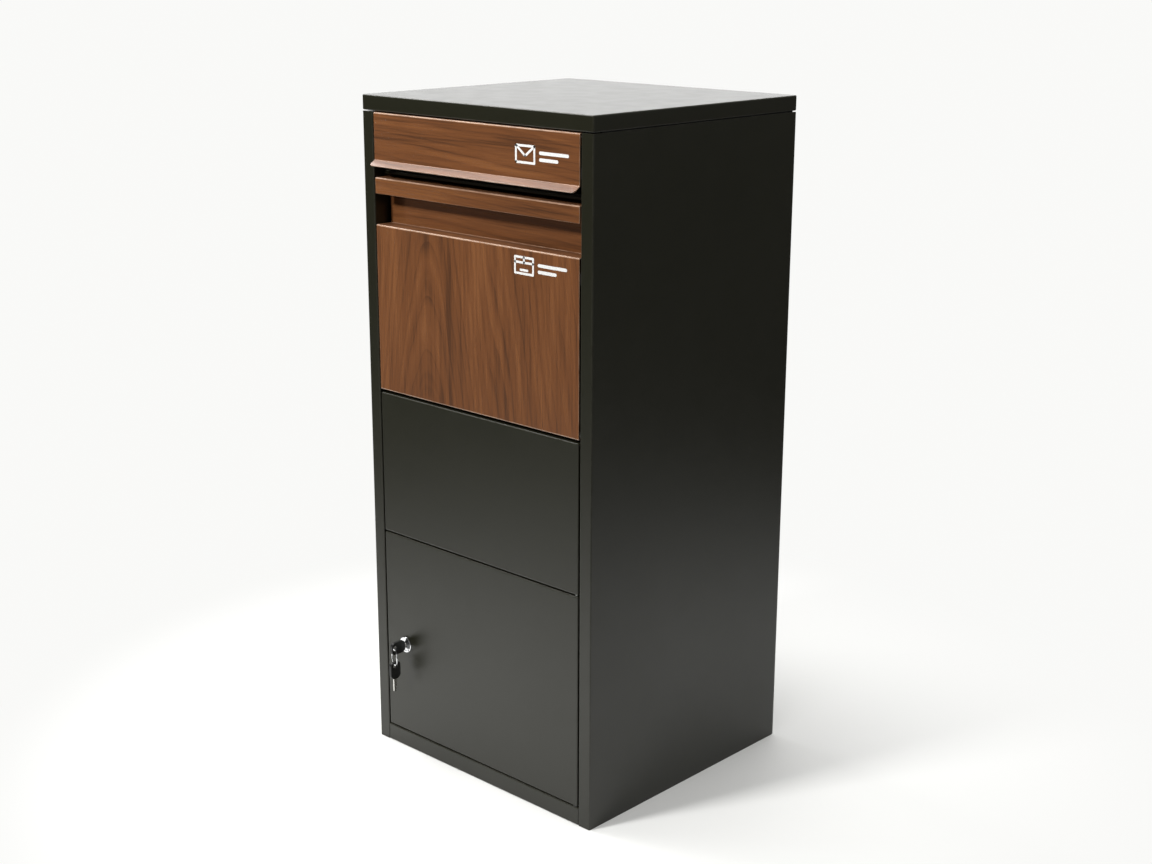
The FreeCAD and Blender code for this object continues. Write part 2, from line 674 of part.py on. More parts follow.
def model():
    blade, bow = key_blank()
    return {
        "left_side_panel": mirrored(side_panel()),
        "right_side_panel": side_panel(),
        "back_panel": back_panel(),
        "back_rivets": back_rivets(),
        "base_panel": base_panel(),
        "compartment_mat": compartment_mat(),
        "front_plinth": front_plinth(),
        "middle_front_panel": middle_front_panel(),
        "panel_spacers": panel_spacers(),
        "lid": lid(),
        "lid_seal": lid_seal(),
        "lid_screws": lid_screws(),
        "top_front_rail": top_front_rail(),
        "letter_sill": letter_sill(),
        "letter_chute": letter_chute(),
        "anti_fishing_baffle": anti_fishing_baffle(),
        "left_side_liner": mirrored(side_liner()),
        "right_side_liner": side_liner(),
        "stop_brackets": stop_brackets(),
        "rubber_stops": rubber_stops(),
        "hopper_stop_lugs": hopper_stop_lugs(),
        "lock_keeper": lock_keeper(),
        "letter_flap": letter_flap(),
        "letter_flap_pins": headed_pins(FLAP_PIN_Y, FLAP_PIN_Z, FLAP_PIN_R, 2.5, 198),
        "parcel_door_skin": parcel_door_skin(),
        "left_hopper_cheek": mirrored(hopper_cheek()),
        "right_hopper_cheek": hopper_cheek(),
        "hopper_plate": hopper_plate(),
        "hopper_stop_studs": hopper_stop_studs(),
        "hopper_bushes": hopper_bushes(),
        "hopper_hinge_pins": headed_pins(HOPPER_Y, HOPPER_Z, HOPPER_PIN_R, 4.0, 193),
        "retrieval_door": retrieval_door(),
        "door_stiffener": door_stiffener(),
        "door_hinge_pins": door_hinge_pins(),
        "door_hinge_washer": door_hinge_washer(),
        "lock_barrel": lock_barrel(),
        "lock_nut": lock_nut(),
        "lock_plug": lock_plug(),
        "lock_cam": lock_cam(),
        "cam_screw": cam_screw(),
        "key_blade": key_in_lock(blade),
        "key_bow": key_in_lock(bow),
        "key_ring": key_ring(),
        "spare_key_blade": spare_key(blade),
        "spare_key_bow": spare_key(bow),
    }


def main():
    os.makedirs("parts", exist_ok=True)
    for name, shape in model().items():
        if not shape.isValid() or not shape.Solids:
            raise RuntimeError(f"{name} is not a valid solid")
        shape.exportStep(f"parts/{name}.step")
        print(f"{name}: {len(shape.Solids)} solid(s), {shape.Volume:.0f} mm3")


main()
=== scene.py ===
import logging
import math
from contextlib import contextmanager
from dataclasses import dataclass, field
from enum import Enum
from typing import Callable, ClassVar, Iterator, Optional, Sequence

import bmesh
import bpy
from mathutils import Matrix, Vector


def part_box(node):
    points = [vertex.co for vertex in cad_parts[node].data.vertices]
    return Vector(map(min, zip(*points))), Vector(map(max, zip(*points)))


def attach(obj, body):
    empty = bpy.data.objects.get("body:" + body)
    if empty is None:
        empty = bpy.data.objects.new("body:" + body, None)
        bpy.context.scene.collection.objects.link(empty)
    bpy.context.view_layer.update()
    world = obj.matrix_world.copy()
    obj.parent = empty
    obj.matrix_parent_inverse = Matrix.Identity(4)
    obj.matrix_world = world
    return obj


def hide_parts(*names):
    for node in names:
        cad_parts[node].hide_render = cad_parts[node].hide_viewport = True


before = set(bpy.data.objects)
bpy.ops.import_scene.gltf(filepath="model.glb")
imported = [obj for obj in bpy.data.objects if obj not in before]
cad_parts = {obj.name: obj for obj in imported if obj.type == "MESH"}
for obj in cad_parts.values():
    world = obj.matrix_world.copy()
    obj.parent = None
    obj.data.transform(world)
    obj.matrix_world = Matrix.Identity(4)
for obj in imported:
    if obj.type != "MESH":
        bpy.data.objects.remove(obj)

log = logging.getLogger("drop_box")

Point = tuple[float, float]
Colour = tuple[float, float, float]
MM = 0.001
FOLD_MARK = "fold"


class Body(Enum):
    """The rigid bodies of the drop box that a piece can ride on."""

    CABINET = "cabinet"
    FLAP = "letter_flap"
    HOPPER = "parcel_hopper"
    DOOR = "retrieval_door"
    PLUG = "lock_plug"
    RING = "key_ring"
    SPARE = "spare_key"


class Plane(Enum):
    """The flat plane in which a folded sheet's path is drawn."""

    XY = "xy"
    YZ = "yz"

    def place(self, point: Point, level: float) -> Vector:
        """Return the 3-D place of a flat point at a level along the plane's normal.

        Args:
            point: The flat point.
            level: How far along the normal it lies.

        Returns:
            The place.
        """
        if self is Plane.XY:
            return Vector((point[0], point[1], level))
        return Vector((level, point[0], point[1]))

    @property
    def along(self) -> Vector:
        """Return the unit vector along which the path is swept."""
        return Vector((0, 0, 1)) if self is Plane.XY else Vector((1, 0, 0))


class Select(Enum):
    """What edit mode selects."""

    VERT = "VERT"
    EDGE = "EDGE"
    FACE = "FACE"


# ------------------------------------------------------------------ bench tools

def activate(obj: bpy.types.Object) -> None:
    """Deselect everything, then select one object and make it the active one.

    Args:
        obj: The object to work on.
    """
    if bpy.context.mode != "OBJECT":
        bpy.ops.object.mode_set(mode="OBJECT")
    bpy.ops.object.select_all(action="DESELECT")
    obj.select_set(True)
    bpy.context.view_layer.objects.active = obj


@contextmanager
def editing(obj: bpy.types.Object, what: Select) -> Iterator[None]:
    """Open an object in edit mode with nothing selected, and close it afterwards.

    Args:
        obj: The mesh object to edit.
        what: The kind of element that the selection tools work on.

    Yields:
        Nothing; the body of the with statement runs in edit mode.
    """
    activate(obj)
    bpy.ops.object.mode_set(mode="EDIT")
    bpy.ops.mesh.select_mode(type=what.value)
    bpy.ops.mesh.select_all(action="DESELECT")
    yield
    bpy.ops.object.mode_set(mode="OBJECT")


def pick_verts(obj: bpy.types.Object, test: Callable[[Vector], bool]) -> int:
    """Select the vertices whose place passes a test.

    Args:
        obj: The mesh object, in edit mode.
        test: Takes a vertex's place and says whether to select it.

    Returns:
        How many vertices are selected.
    """
    mesh = bmesh.from_edit_mesh(obj.data)
    chosen = [vert for vert in mesh.verts if test(vert.co)]
    for vert in mesh.verts:
        vert.select_set(False)
    for vert in chosen:
        vert.select_set(True)
    mesh.select_flush_mode()
    bmesh.update_edit_mesh(obj.data)
    return len(chosen)


def pick_edges(obj: bpy.types.Object, test: Callable[[Vector, Vector], bool]) -> int:
    """Select the edges whose two ends pass a test.

    Args:
        obj: The mesh object, in edit mode.
        test: Takes an edge's two ends and says whether to select it.

    Returns:
        How many edges are selected.
    """
    mesh = bmesh.from_edit_mesh(obj.data)
    chosen = [edge for edge in mesh.edges if test(edge.verts[0].co, edge.verts[1].co)]
    for edge in mesh.edges:
        edge.select_set(False)
    for edge in chosen:
        edge.select_set(True)
    bmesh.update_edit_mesh(obj.data)
    return len(chosen)


def pick_faces(obj: bpy.types.Object, test: Callable[[Vector, Vector], bool]) -> int:
    """Select the faces whose middle and normal pass a test.

    Args:
        obj: The mesh object, in edit mode.
        test: Takes a face's middle and its normal and says whether to select it.

    Returns:
        How many faces are selected.
    """
    mesh = bmesh.from_edit_mesh(obj.data)
    mesh.normal_update()
    chosen = [face for face in mesh.faces if test(face.calc_center_median(), face.normal)]
    for face in mesh.faces:
        face.select_set(False)
    for face in chosen:
        face.select_set(True)
    bmesh.update_edit_mesh(obj.data)
    return len(chosen)


def settle(obj: bpy.types.Object) -> bpy.types.Object:
    """Put an object's place, turn and scale into its mesh.

    Args:
        obj: The object.

    Returns:
        The same object, at the origin, unturned and unscaled.
    """
    activate(obj)
    bpy.ops.object.transform_apply(location=True, rotation=True, scale=True)
    return obj


def block(name: str, low: Vector, high: Vector) -> bpy.types.Object:
    """Add a cube primitive at its size and place.

    Args:
        name: The new object's name.
        low: Its lowest corner.
        high: Its highest corner.

    Returns:
        The new object, at the origin with its place in its mesh.
    """
    size = high - low
    bpy.ops.mesh.primitive_cube_add(size=1, location=(low + high) / 2, scale=size)
    obj = bpy.context.object
    obj.name = name
    return settle(obj)


def finish_with(obj: bpy.types.Object, kind: str, **settings: object) -> None:
    """Add one modifier with its settings and apply it.

    Args:
        obj: The mesh object.
        kind: The modifier's type.
        **settings: The modifier's properties and their values.
    """
    activate(obj)
    modifier = obj.modifiers.new(kind.title(), kind)
    for key, value in settings.items():
        setattr(modifier, key, value)
    bpy.ops.object.modifier_apply(modifier=modifier.name)


def round_rims(obj: bpy.types.Object, width: float, segments: int = 2, angle: float = 40) -> None:
    """Round every edge sharper than an angle with a small bevel.

    Args:
        obj: The mesh object.
        width: The bevel's width, in metres.
        segments: How many faces the bevel has.
        angle: Edges that turn by less than this many degrees stay as they are.
    """
    finish_with(obj, "BEVEL", width=width, segments=segments, limit_method="ANGLE",
                angle_limit=math.radians(angle), use_clamp_overlap=True, miter_outer="MITER_ARC")


def smooth(obj: bpy.types.Object, angle: float = 40) -> None:
    """Shade an object smooth up to an angle, with its large flat faces kept flat.

    Args:
        obj: The mesh object.
        angle: Edges that turn by more than this many degrees stay sharp.
    """
    activate(obj)
    bpy.ops.object.shade_smooth_by_angle(angle=math.radians(angle))
    finish_with(obj, "WEIGHTED_NORMAL", keep_sharp=True, weight=100)


def mark_folds(obj: bpy.types.Object, width: float = 1.2 * MM) -> None:
    """Mark the narrow faces of a sheet piece: its folds and its cut edges.

    Args:
        obj: The finished mesh object.
        width: Faces narrower than this are marked, in metres.
    """
    mesh = obj.data
    mark = mesh.attributes.new(FOLD_MARK, "FLOAT", "FACE")
    places = [vert.co for vert in mesh.vertices]
    for face in mesh.polygons:
        longest = max((places[a] - places[b]).length for a, b in face.edge_keys)
        mark.data[face.index].value = 1.0 if face.area < width * longest else 0.0


def merge(name: str, pieces: Sequence[bpy.types.Object]) -> bpy.types.Object:
    """Join several objects into one.

    Args:
        name: The joined object's name.
        pieces: The objects, of which the first one keeps its place.

    Returns:
        The joined object.
    """
    activate(pieces[0])
    for piece in pieces:
        piece.select_set(True)
    if len(pieces) > 1:
        bpy.ops.object.join()
    pieces[0].name = name
    return pieces[0]


def copy_of(obj: bpy.types.Object, name: str, move: Vector = Vector()) -> bpy.types.Object:
    """Copy an object with a mesh of its own, moved by a vector.

    Args:
        obj: The object to copy.
        name: The copy's name.
        move: How far the copy's mesh is moved.

    Returns:
        The copy.
    """
    copy = obj.copy()
    copy.data = obj.data.copy()
    copy.name = name
    bpy.context.scene.collection.objects.link(copy)
    copy.data.transform(Matrix.Translation(move))
    return copy


def mirrored_copy(obj: bpy.types.Object, name: str) -> bpy.types.Object:
    """Copy an object to the other side of the cabinet's middle plane.

    Args:
        obj: The object to copy.
        name: The copy's name.

    Returns:
        The mirrored copy, with its faces pointing outwards.
    """
    copy = copy_of(obj, name)
    with editing(copy, Select.FACE):
        bpy.ops.mesh.select_all(action="SELECT")
        bpy.ops.transform.resize(value=(-1, 1, 1), center_override=(0, 0, 0))
        bpy.ops.mesh.normals_make_consistent(inside=False)
    return copy


# ------------------------------------------------------------------ sheet-metal builders

@dataclass(frozen=True)
class Gauge:
    """The steel sheet that the cabinet is folded from.

    Attributes:
        thickness: The sheet's thickness, in metres.
        bend: The inside radius of every fold, in metres.
        steps: How many faces a fold has.
        rim: How far the cut edges are rounded, in metres.
    """

    thickness: float = 1.5 * MM
    bend: float = 0.5 * MM
    steps: int = 5
    rim: float = 0.25 * MM

    @property
    def outside(self) -> float:
        """Return the outside radius of a fold."""
        return self.bend + self.thickness


@dataclass
class FoldedSheet:
    """A sheet folded along straight lines.

    Attributes:
        name: The piece's name.
        path: Flat points along one face of the sheet; the metal lies to the path's left.
        plane: The plane of the path.
        start: The level where the sheet starts, along the plane's normal.
        end: The level where it ends.
        gauge: The sheet's thickness and fold radius.
    """

    name: str
    path: Sequence[Point]
    plane: Plane
    start: float
    end: float
    gauge: Gauge = field(default_factory=Gauge)

    def run(self, index: int) -> Vector:
        """Return the path's run from one point to the next, in space."""
        return self.corner(index + 1) - self.corner(index)

    def corner(self, index: int) -> Vector:
        """Return one point of the path at the level where the sheet starts."""
        return self.plane.place(self.path[index], self.start)

    def first_face(self) -> bpy.types.Object:
        """Add a plane primitive over the path's first run.

        Returns:
            The new object, with its place in its mesh.
        """
        wide = self.plane.along * (self.end - self.start)
        run = self.run(0)
        turn = Matrix((wide.normalized(), run.normalized(), wide.cross(run).normalized())).transposed()
        middle = self.corner(0) + (wide + run) / 2
        bpy.ops.mesh.primitive_plane_add(size=1, location=middle, rotation=turn.to_euler())
        obj = bpy.context.object
        obj.scale = (wide.length, run.length, 1)
        obj.name = self.name
        return settle(obj)

    def at(self, index: int) -> Callable[[Vector, Vector], bool]:
        """Return the test that picks the edge lying on one corner of the path.

        Args:
            index: The corner's number in the path.

        Returns:
            A test that takes an edge's two ends.
        """
        corner = self.corner(index)
        along = self.plane.along

        def on_corner(a: Vector, b: Vector) -> bool:
            """Say whether both ends lie on the line through the corner."""
            return all(((p - corner) - along * (p - corner).dot(along)).length < 1e-5 for p in (a, b))

        return on_corner

    def surface(self) -> bpy.types.Object:
        """Extrude the path's runs one after another, without thickness.

        Returns:
            The unfolded edges' object, with sharp folds.
        """
        obj = self.first_face()
        for index in range(1, len(self.path) - 1):
            with editing(obj, Select.EDGE):
                pick_edges(obj, self.at(index))
                bpy.ops.mesh.extrude_edges_move(TRANSFORM_OT_translate={"value": self.run(index)})
        return obj

    def round_folds(self, obj: bpy.types.Object) -> None:
        """Bevel each fold to the radius that its face has on its side of the sheet.

        Args:
            obj: The sheet's surface.
        """
        normal = self.plane.along
        for index in range(1, len(self.path) - 1):
            before = self.run(index - 1)
            after = self.run(index)
            turns_left = before.cross(after).dot(normal) > 0
            radius = self.gauge.outside if turns_left else self.gauge.bend
            offset = radius * math.tan(before.angle(after) / 2)
            with editing(obj, Select.EDGE):
                pick_edges(obj, self.at(index))
                bpy.ops.mesh.bevel(offset=offset, segments=self.gauge.steps, affect="EDGES")

    def thicken(self, obj: bpy.types.Object) -> None:
        """Give the surface its thickness on the path's left.

        Args:
            obj: The sheet's surface, with rounded folds.
        """
        run = self.run(0).normalized()
        left = self.plane.along.cross(run)
        middle = self.corner(0) + self.run(0) / 2
        nearest = min(obj.data.polygons, key=lambda face: self.off_axis(Vector(face.center) - middle))
        side = 1 if Vector(nearest.normal).dot(left) > 0 else -1
        finish_with(obj, "SOLIDIFY", thickness=self.gauge.thickness, offset=side, use_even_offset=True)

    def off_axis(self, reach: Vector) -> float:
        """Return how far a vector reaches across the sweep's direction."""
        along = self.plane.along
        return (reach - along * reach.dot(along)).length

    def build(self, shape: Optional[Callable[[bpy.types.Object], None]] = None) -> bpy.types.Object:
        """Build the whole sheet.

        Args:
            shape: A further step on the surface, before it gets its thickness.

        Returns:
            The finished piece.
        """
        obj = self.surface()
        self.round_folds(obj)
        if shape:
            shape(obj)
        self.thicken(obj)
        round_rims(obj, self.gauge.rim)
        smooth(obj)
        return obj


@dataclass
class FoldedTray:
    """A shallow sheet panel with four returned edges, open at the back.

    Attributes:
        name: The piece's name.
        low: The lowest corner of its box.
        high: The highest corner of its box.
        gauge: The sheet's thickness and fold radius.
    """

    name: str
    low: Vector
    high: Vector
    gauge: Gauge = field(default_factory=Gauge)

    def build(self) -> bpy.types.Object:
        """Build the tray from a cube whose back is taken out.

        Returns:
            The finished piece.
        """
        obj = block(self.name, self.low, self.high)
        with editing(obj, Select.FACE):
            pick_faces(obj, lambda middle, normal: normal.y > 0.9)
            bpy.ops.mesh.delete(type="FACE")
        rear = self.high.y - 1e-5
        with editing(obj, Select.EDGE):
            pick_edges(obj, lambda a, b: min(a.y, b.y) < rear)
            bpy.ops.mesh.bevel(offset=self.gauge.outside, segments=self.gauge.steps, affect="EDGES")
        finish_with(obj, "SOLIDIFY", thickness=self.gauge.thickness, offset=-1, use_even_offset=True)
        round_rims(obj, self.gauge.rim)
        smooth(obj)
        return obj


@dataclass
class TurnedPart:
    """A round part, made ring by ring along its axis.

    Attributes:
        name: The piece's name.
        foot: Where the axis starts.
        axis: The axis's direction.
        profile: Radius and distance along the axis of each ring.
        sides: How many sides each ring has.
        closed: Whether the two ends are filled.
    """

    name: str
    foot: Vector
    axis: Vector
    profile: Sequence[Point]
    sides: int = 64
    closed: bool = True

    def build(self) -> bpy.types.Object:
        """Extrude and scale a circle along the axis, then turn it to its place.

        Returns:
            The finished piece.
        """
        radius, level = self.profile[0]
        bpy.ops.mesh.primitive_circle_add(vertices=self.sides, radius=radius, location=(0, 0, level))
        obj = bpy.context.object
        obj.name = self.name
        settle(obj)
        activate(obj)
        bpy.ops.object.mode_set(mode="EDIT")
        bpy.ops.mesh.select_mode(type="EDGE")
        bpy.ops.mesh.select_all(action="SELECT")
        for following, height in self.profile[1:]:
            rise = Vector((0, 0, height - level))
            bpy.ops.mesh.extrude_edges_move(TRANSFORM_OT_translate={"value": rise})
            ratio = following / radius
            bpy.ops.transform.resize(value=(ratio, ratio, 1), center_override=(0, 0, height))
            radius, level = following, height
        bpy.ops.mesh.select_all(action="SELECT")
        if self.closed:
            self.fill_ends(obj)
        bpy.ops.mesh.select_all(action="SELECT")
        bpy.ops.mesh.normals_make_consistent(inside=False)
        bpy.ops.object.mode_set(mode="OBJECT")
        obj.rotation_mode = "QUATERNION"
        obj.rotation_quaternion = Vector((0, 0, 1)).rotation_difference(self.axis)
        obj.location = self.foot
        return settle(obj)

    def fill_ends(self, obj: bpy.types.Object) -> None:
        """Fill the first and the last ring with a face each.

        Args:
            obj: The part, in edit mode.
        """
        for level in (self.profile[0][1], self.profile[-1][1]):
            def on_end(a: Vector, b: Vector, height: float = level) -> bool:
                """Say whether an edge lies in the end's plane."""
                return abs(a.z - height) < 1e-7 and abs(b.z - height) < 1e-7

            pick_edges(obj, on_end)
            bpy.ops.mesh.edge_face_add()


# ------------------------------------------------------------------ shader tools

class Nodes:
    """A node tree that is filled node by node and wired by name.

    Attributes:
        tree: The shader node tree or node group.
    """

    def __init__(self, tree: bpy.types.NodeTree) -> None:
        """Keep the tree that the nodes go into."""
        self.tree = tree

    def add(self, kind: str, inputs: Optional[dict[str, object]] = None,
            **settings: object) -> bpy.types.Node:
        """Add a node, set its properties and fill its inputs.

        Args:
            kind: The node's type name, without the ShaderNode prefix.
            inputs: Values or output sockets for the node's inputs, by name.
            **settings: The node's properties and their values.

        Returns:
            The new node.
        """
        node = self.tree.nodes.new("ShaderNode" + kind)
        for key, value in settings.items():
            setattr(node, key, value)
        for key, value in (inputs or {}).items():
            self.feed(node, key, value)
        return node

    def feed(self, node: bpy.types.Node, key: object, value: object) -> None:
        """Link a socket to a node's input, or set the input's own value.

        Args:
            node: The node.
            key: The input's name or number.
            value: An output socket, or a plain value.
        """
        socket = node.inputs[key]
        if isinstance(value, bpy.types.NodeSocket):
            self.tree.links.new(value, socket)
        else:
            socket.default_value = value

    def math(self, operation: str, a: object, b: object = 0.0, clamp: bool = False) -> bpy.types.NodeSocket:
        """Add a math node and return its output.

        Args:
            operation: The node's operation.
            a: The first input.
            b: The second input.
            clamp: Whether the result is kept between 0 and 1.

        Returns:
            The output socket.
        """
        node = self.add("Math", operation=operation, use_clamp=clamp)
        self.feed(node, 0, a)
        self.feed(node, 1, b)
        return node.outputs[0]

    def mix(self, factor: object, a: object, b: object, blend: str = "MIX") -> bpy.types.NodeSocket:
        """Add a colour mix node and return its colour.

        Args:
            factor: The share of the second colour.
            a: The first colour.
            b: The second colour.
            blend: The node's blend type.

        Returns:
            The colour socket.
        """
        node = self.add("Mix", data_type="RGBA", blend_type=blend)
        self.feed(node, 0, factor)
        for index, value in ((6, a), (7, b)):
            if isinstance(value, tuple) and len(value) == 3:
                value = (*value, 1.0)
            self.feed(node, index, value)
        return node.outputs[2]

    def noise(self, place: object, scale: float, detail: float = 3.0,
              rough: float = 0.5) -> bpy.types.NodeSocket:
        """Add a noise texture and return its grey value."""
        return self.add("TexNoise", {"Vector": place, "Scale": scale, "Detail": detail,
                                     "Roughness": rough}).outputs[0]

    def remap(self, value: object, low: float, high: float, out_low: float = 0.0,
              out_high: float = 1.0) -> bpy.types.NodeSocket:
        """Map a value's range smoothly to another range and return it.

        Args:
            value: What is mapped.
            low: The low end of its range.
            high: The high end of its range.
            out_low: What the low end becomes.
            out_high: What the high end becomes.

        Returns:
            The output socket.
        """
        node = self.add("MapRange", {"Value": value, "From Min": low, "From Max": high,
                                     "To Min": out_low, "To Max": out_high},
                        interpolation_type="SMOOTHSTEP")
        return node.outputs[0]

    def stretched(self, place: object, scale: Vector) -> bpy.types.NodeSocket:
        """Stretch a place vector along its axes and return it."""
        return self.add("Mapping", {"Vector": place, "Scale": scale}).outputs[0]


class EffectGroup:
    """A shader node group that several materials share, built once.

    Attributes:
        name: The group's name.
        takes: Its inputs, each with a socket type and a default value.
        gives: Its outputs, each with a socket type.
    """

    name: str = ""
    takes: dict[str, tuple[str, object]] = {}
    gives: dict[str, str] = {}

    def group(self) -> bpy.types.NodeTree:
        """Return the node group, building it the first time.

        Returns:
            The finished node group.
        """
        found = bpy.data.node_groups.get(self.name)
        if found:
            return found
        tree = bpy.data.node_groups.new(self.name, "ShaderNodeTree")
        for label, (kind, value) in self.takes.items():
            socket = tree.interface.new_socket(label, in_out="INPUT", socket_type="NodeSocket" + kind)
            if value is not None:
                socket.default_value = value
        for label, kind in self.gives.items():
            tree.interface.new_socket(label, in_out="OUTPUT", socket_type="NodeSocket" + kind)
        nodes = Nodes(tree)
        start = tree.nodes.new("NodeGroupInput")
        end = tree.nodes.new("NodeGroupOutput")
        for label, socket in self.wire(nodes, start).items():
            tree.links.new(socket, end.inputs[label])
        return tree

    def wire(self, nodes: Nodes, given: bpy.types.Node) -> dict[str, bpy.types.NodeSocket]:
        """Fill the group with nodes.

        Args:
            nodes: The group's node tree.
            given: The group's input node.

        Returns:
            The socket that each of the group's outputs takes.
        """
        raise NotImplementedError

    def use(self, nodes: Nodes, **inputs: object) -> bpy.types.Node:
        """Place the group in a material.

        Args:
            nodes: The material's node tree.
            **inputs: Values for the group's inputs, with _ for each space in a name.

        Returns:
            The group node.
        """
        node = nodes.tree.nodes.new("ShaderNodeGroup")
        node.node_tree = self.group()
        for key, value in inputs.items():
            nodes.feed(node, key.replace("_", " "), value)
        return node


class EdgeWearAndFoldHighlight(EffectGroup):
    """A mask of rubbed edges found by their normal, and of a painted highlight along the marked folds."""

    name = "Edge wear and fold highlight"
    takes = {"Place": ("Vector", None), "Fold": ("Float", 0.0), "Reach": ("Float", 0.0012),
             "Breakup": ("Float", 60.0)}
    gives = {"Mask": "Float"}

    def wire(self, nodes: Nodes, given: bpy.types.Node) -> dict[str, bpy.types.NodeSocket]:
        """Compare the rounded normal with the true one, add a painted highlight along the marked folds, and
        break the result up.

        Args:
            nodes: The group's node tree.
            given: The group's input node.

        Returns:
            The socket for each output, by the output's name.
        """
        rounded = nodes.add("Bevel", {"Radius": given.outputs["Reach"]}, samples=6)
        true = nodes.add("NewGeometry")
        turn = nodes.add("VectorMath", operation="DOT_PRODUCT")
        nodes.feed(turn, 0, rounded.outputs[0])
        nodes.feed(turn, 1, true.outputs["Normal"])
        edge = nodes.remap(turn.outputs["Value"], 0.995, 0.86)
        spots = nodes.add("TexNoise", {"Vector": given.outputs["Place"], "Scale": given.outputs["Breakup"],
                                       "Detail": 5.0, "Roughness": 0.62}).outputs[0]
        broken = nodes.math("MULTIPLY", edge, nodes.remap(spots, 0.42, 0.66))
        # The marked folds get a painted highlight: a lighter line along each fold, broken up less than the
        # rubbed edges.
        rubbed = nodes.math("MULTIPLY", given.outputs["Fold"], nodes.remap(spots, 0.30, 0.62, 0.45, 1.0))
        return {"Mask": nodes.math("MAXIMUM", broken, rubbed)}


class Dust(EffectGroup):
    """Fine dust that settles where a surface looks up, and a faint film elsewhere."""

    name = "Settled dust"
    takes = {"Place": ("Vector", None), "Amount": ("Float", 0.1), "Film": ("Float", 0.03)}
    gives = {"Mask": "Float"}

    def wire(self, nodes: Nodes, given: bpy.types.Node) -> dict[str, bpy.types.NodeSocket]:
        """Mix the upward-facing part with clouds and specks.

        Args:
            nodes: The group's node tree.
            given: The group's input node.

        Returns:
            The socket for each output, by the output's name.
        """
        normal = nodes.add("NewGeometry").outputs["Normal"]
        up = nodes.add("SeparateXYZ", {"Vector": normal}).outputs["Z"]
        lying = nodes.math("MULTIPLY", nodes.remap(up, 0.3, 0.95), given.outputs["Amount"])
        clouds = nodes.remap(nodes.noise(given.outputs["Place"], 9.0, 6.0, 0.6), 0.3, 0.75, 0.45, 1.0)
        specks = nodes.remap(nodes.noise(given.outputs["Place"], 850.0, 2.0, 0.5), 0.66, 0.76)
        lain = nodes.math("MULTIPLY", nodes.math("ADD", lying, given.outputs["Film"]), clouds)
        dots = nodes.math("MULTIPLY", specks, nodes.math("MULTIPLY", lain, 1.6))
        return {"Mask": nodes.math("ADD", lain, dots, clamp=True)}


class OrangePeel(EffectGroup):
    """The fine waviness of a baked powder coat, with slow changes of tone."""

    name = "Orange peel"
    takes = {"Place": ("Vector", None), "Grain": ("Float", 620.0)}
    gives = {"Height": "Float", "Tone": "Float", "Roughness": "Float"}

    def wire(self, nodes: Nodes, given: bpy.types.Node) -> dict[str, bpy.types.NodeSocket]:
        """Add a coarse wave and a fine one, and read slow clouds for tone and gloss.

        Args:
            nodes: The group's node tree.
            given: The group's input node.

        Returns:
            The socket for each output, by the output's name.
        """
        place = given.outputs["Place"]
        fine = nodes.add("TexNoise", {"Vector": place, "Scale": given.outputs["Grain"], "Detail": 2.0,
                                      "Roughness": 0.45}).outputs[0]
        coarse = nodes.noise(place, 150.0, 1.0, 0.4)
        height = nodes.math("ADD", nodes.math("MULTIPLY", fine, 0.6), nodes.math("MULTIPLY", coarse, 0.2))
        tone = nodes.remap(nodes.noise(place, 3.5, 4.0, 0.55), 0.25, 0.75)
        gloss = nodes.remap(nodes.noise(place, 28.0, 5.0, 0.6), 0.3, 0.7)
        return {"Height": height, "Tone": tone, "Roughness": gloss}


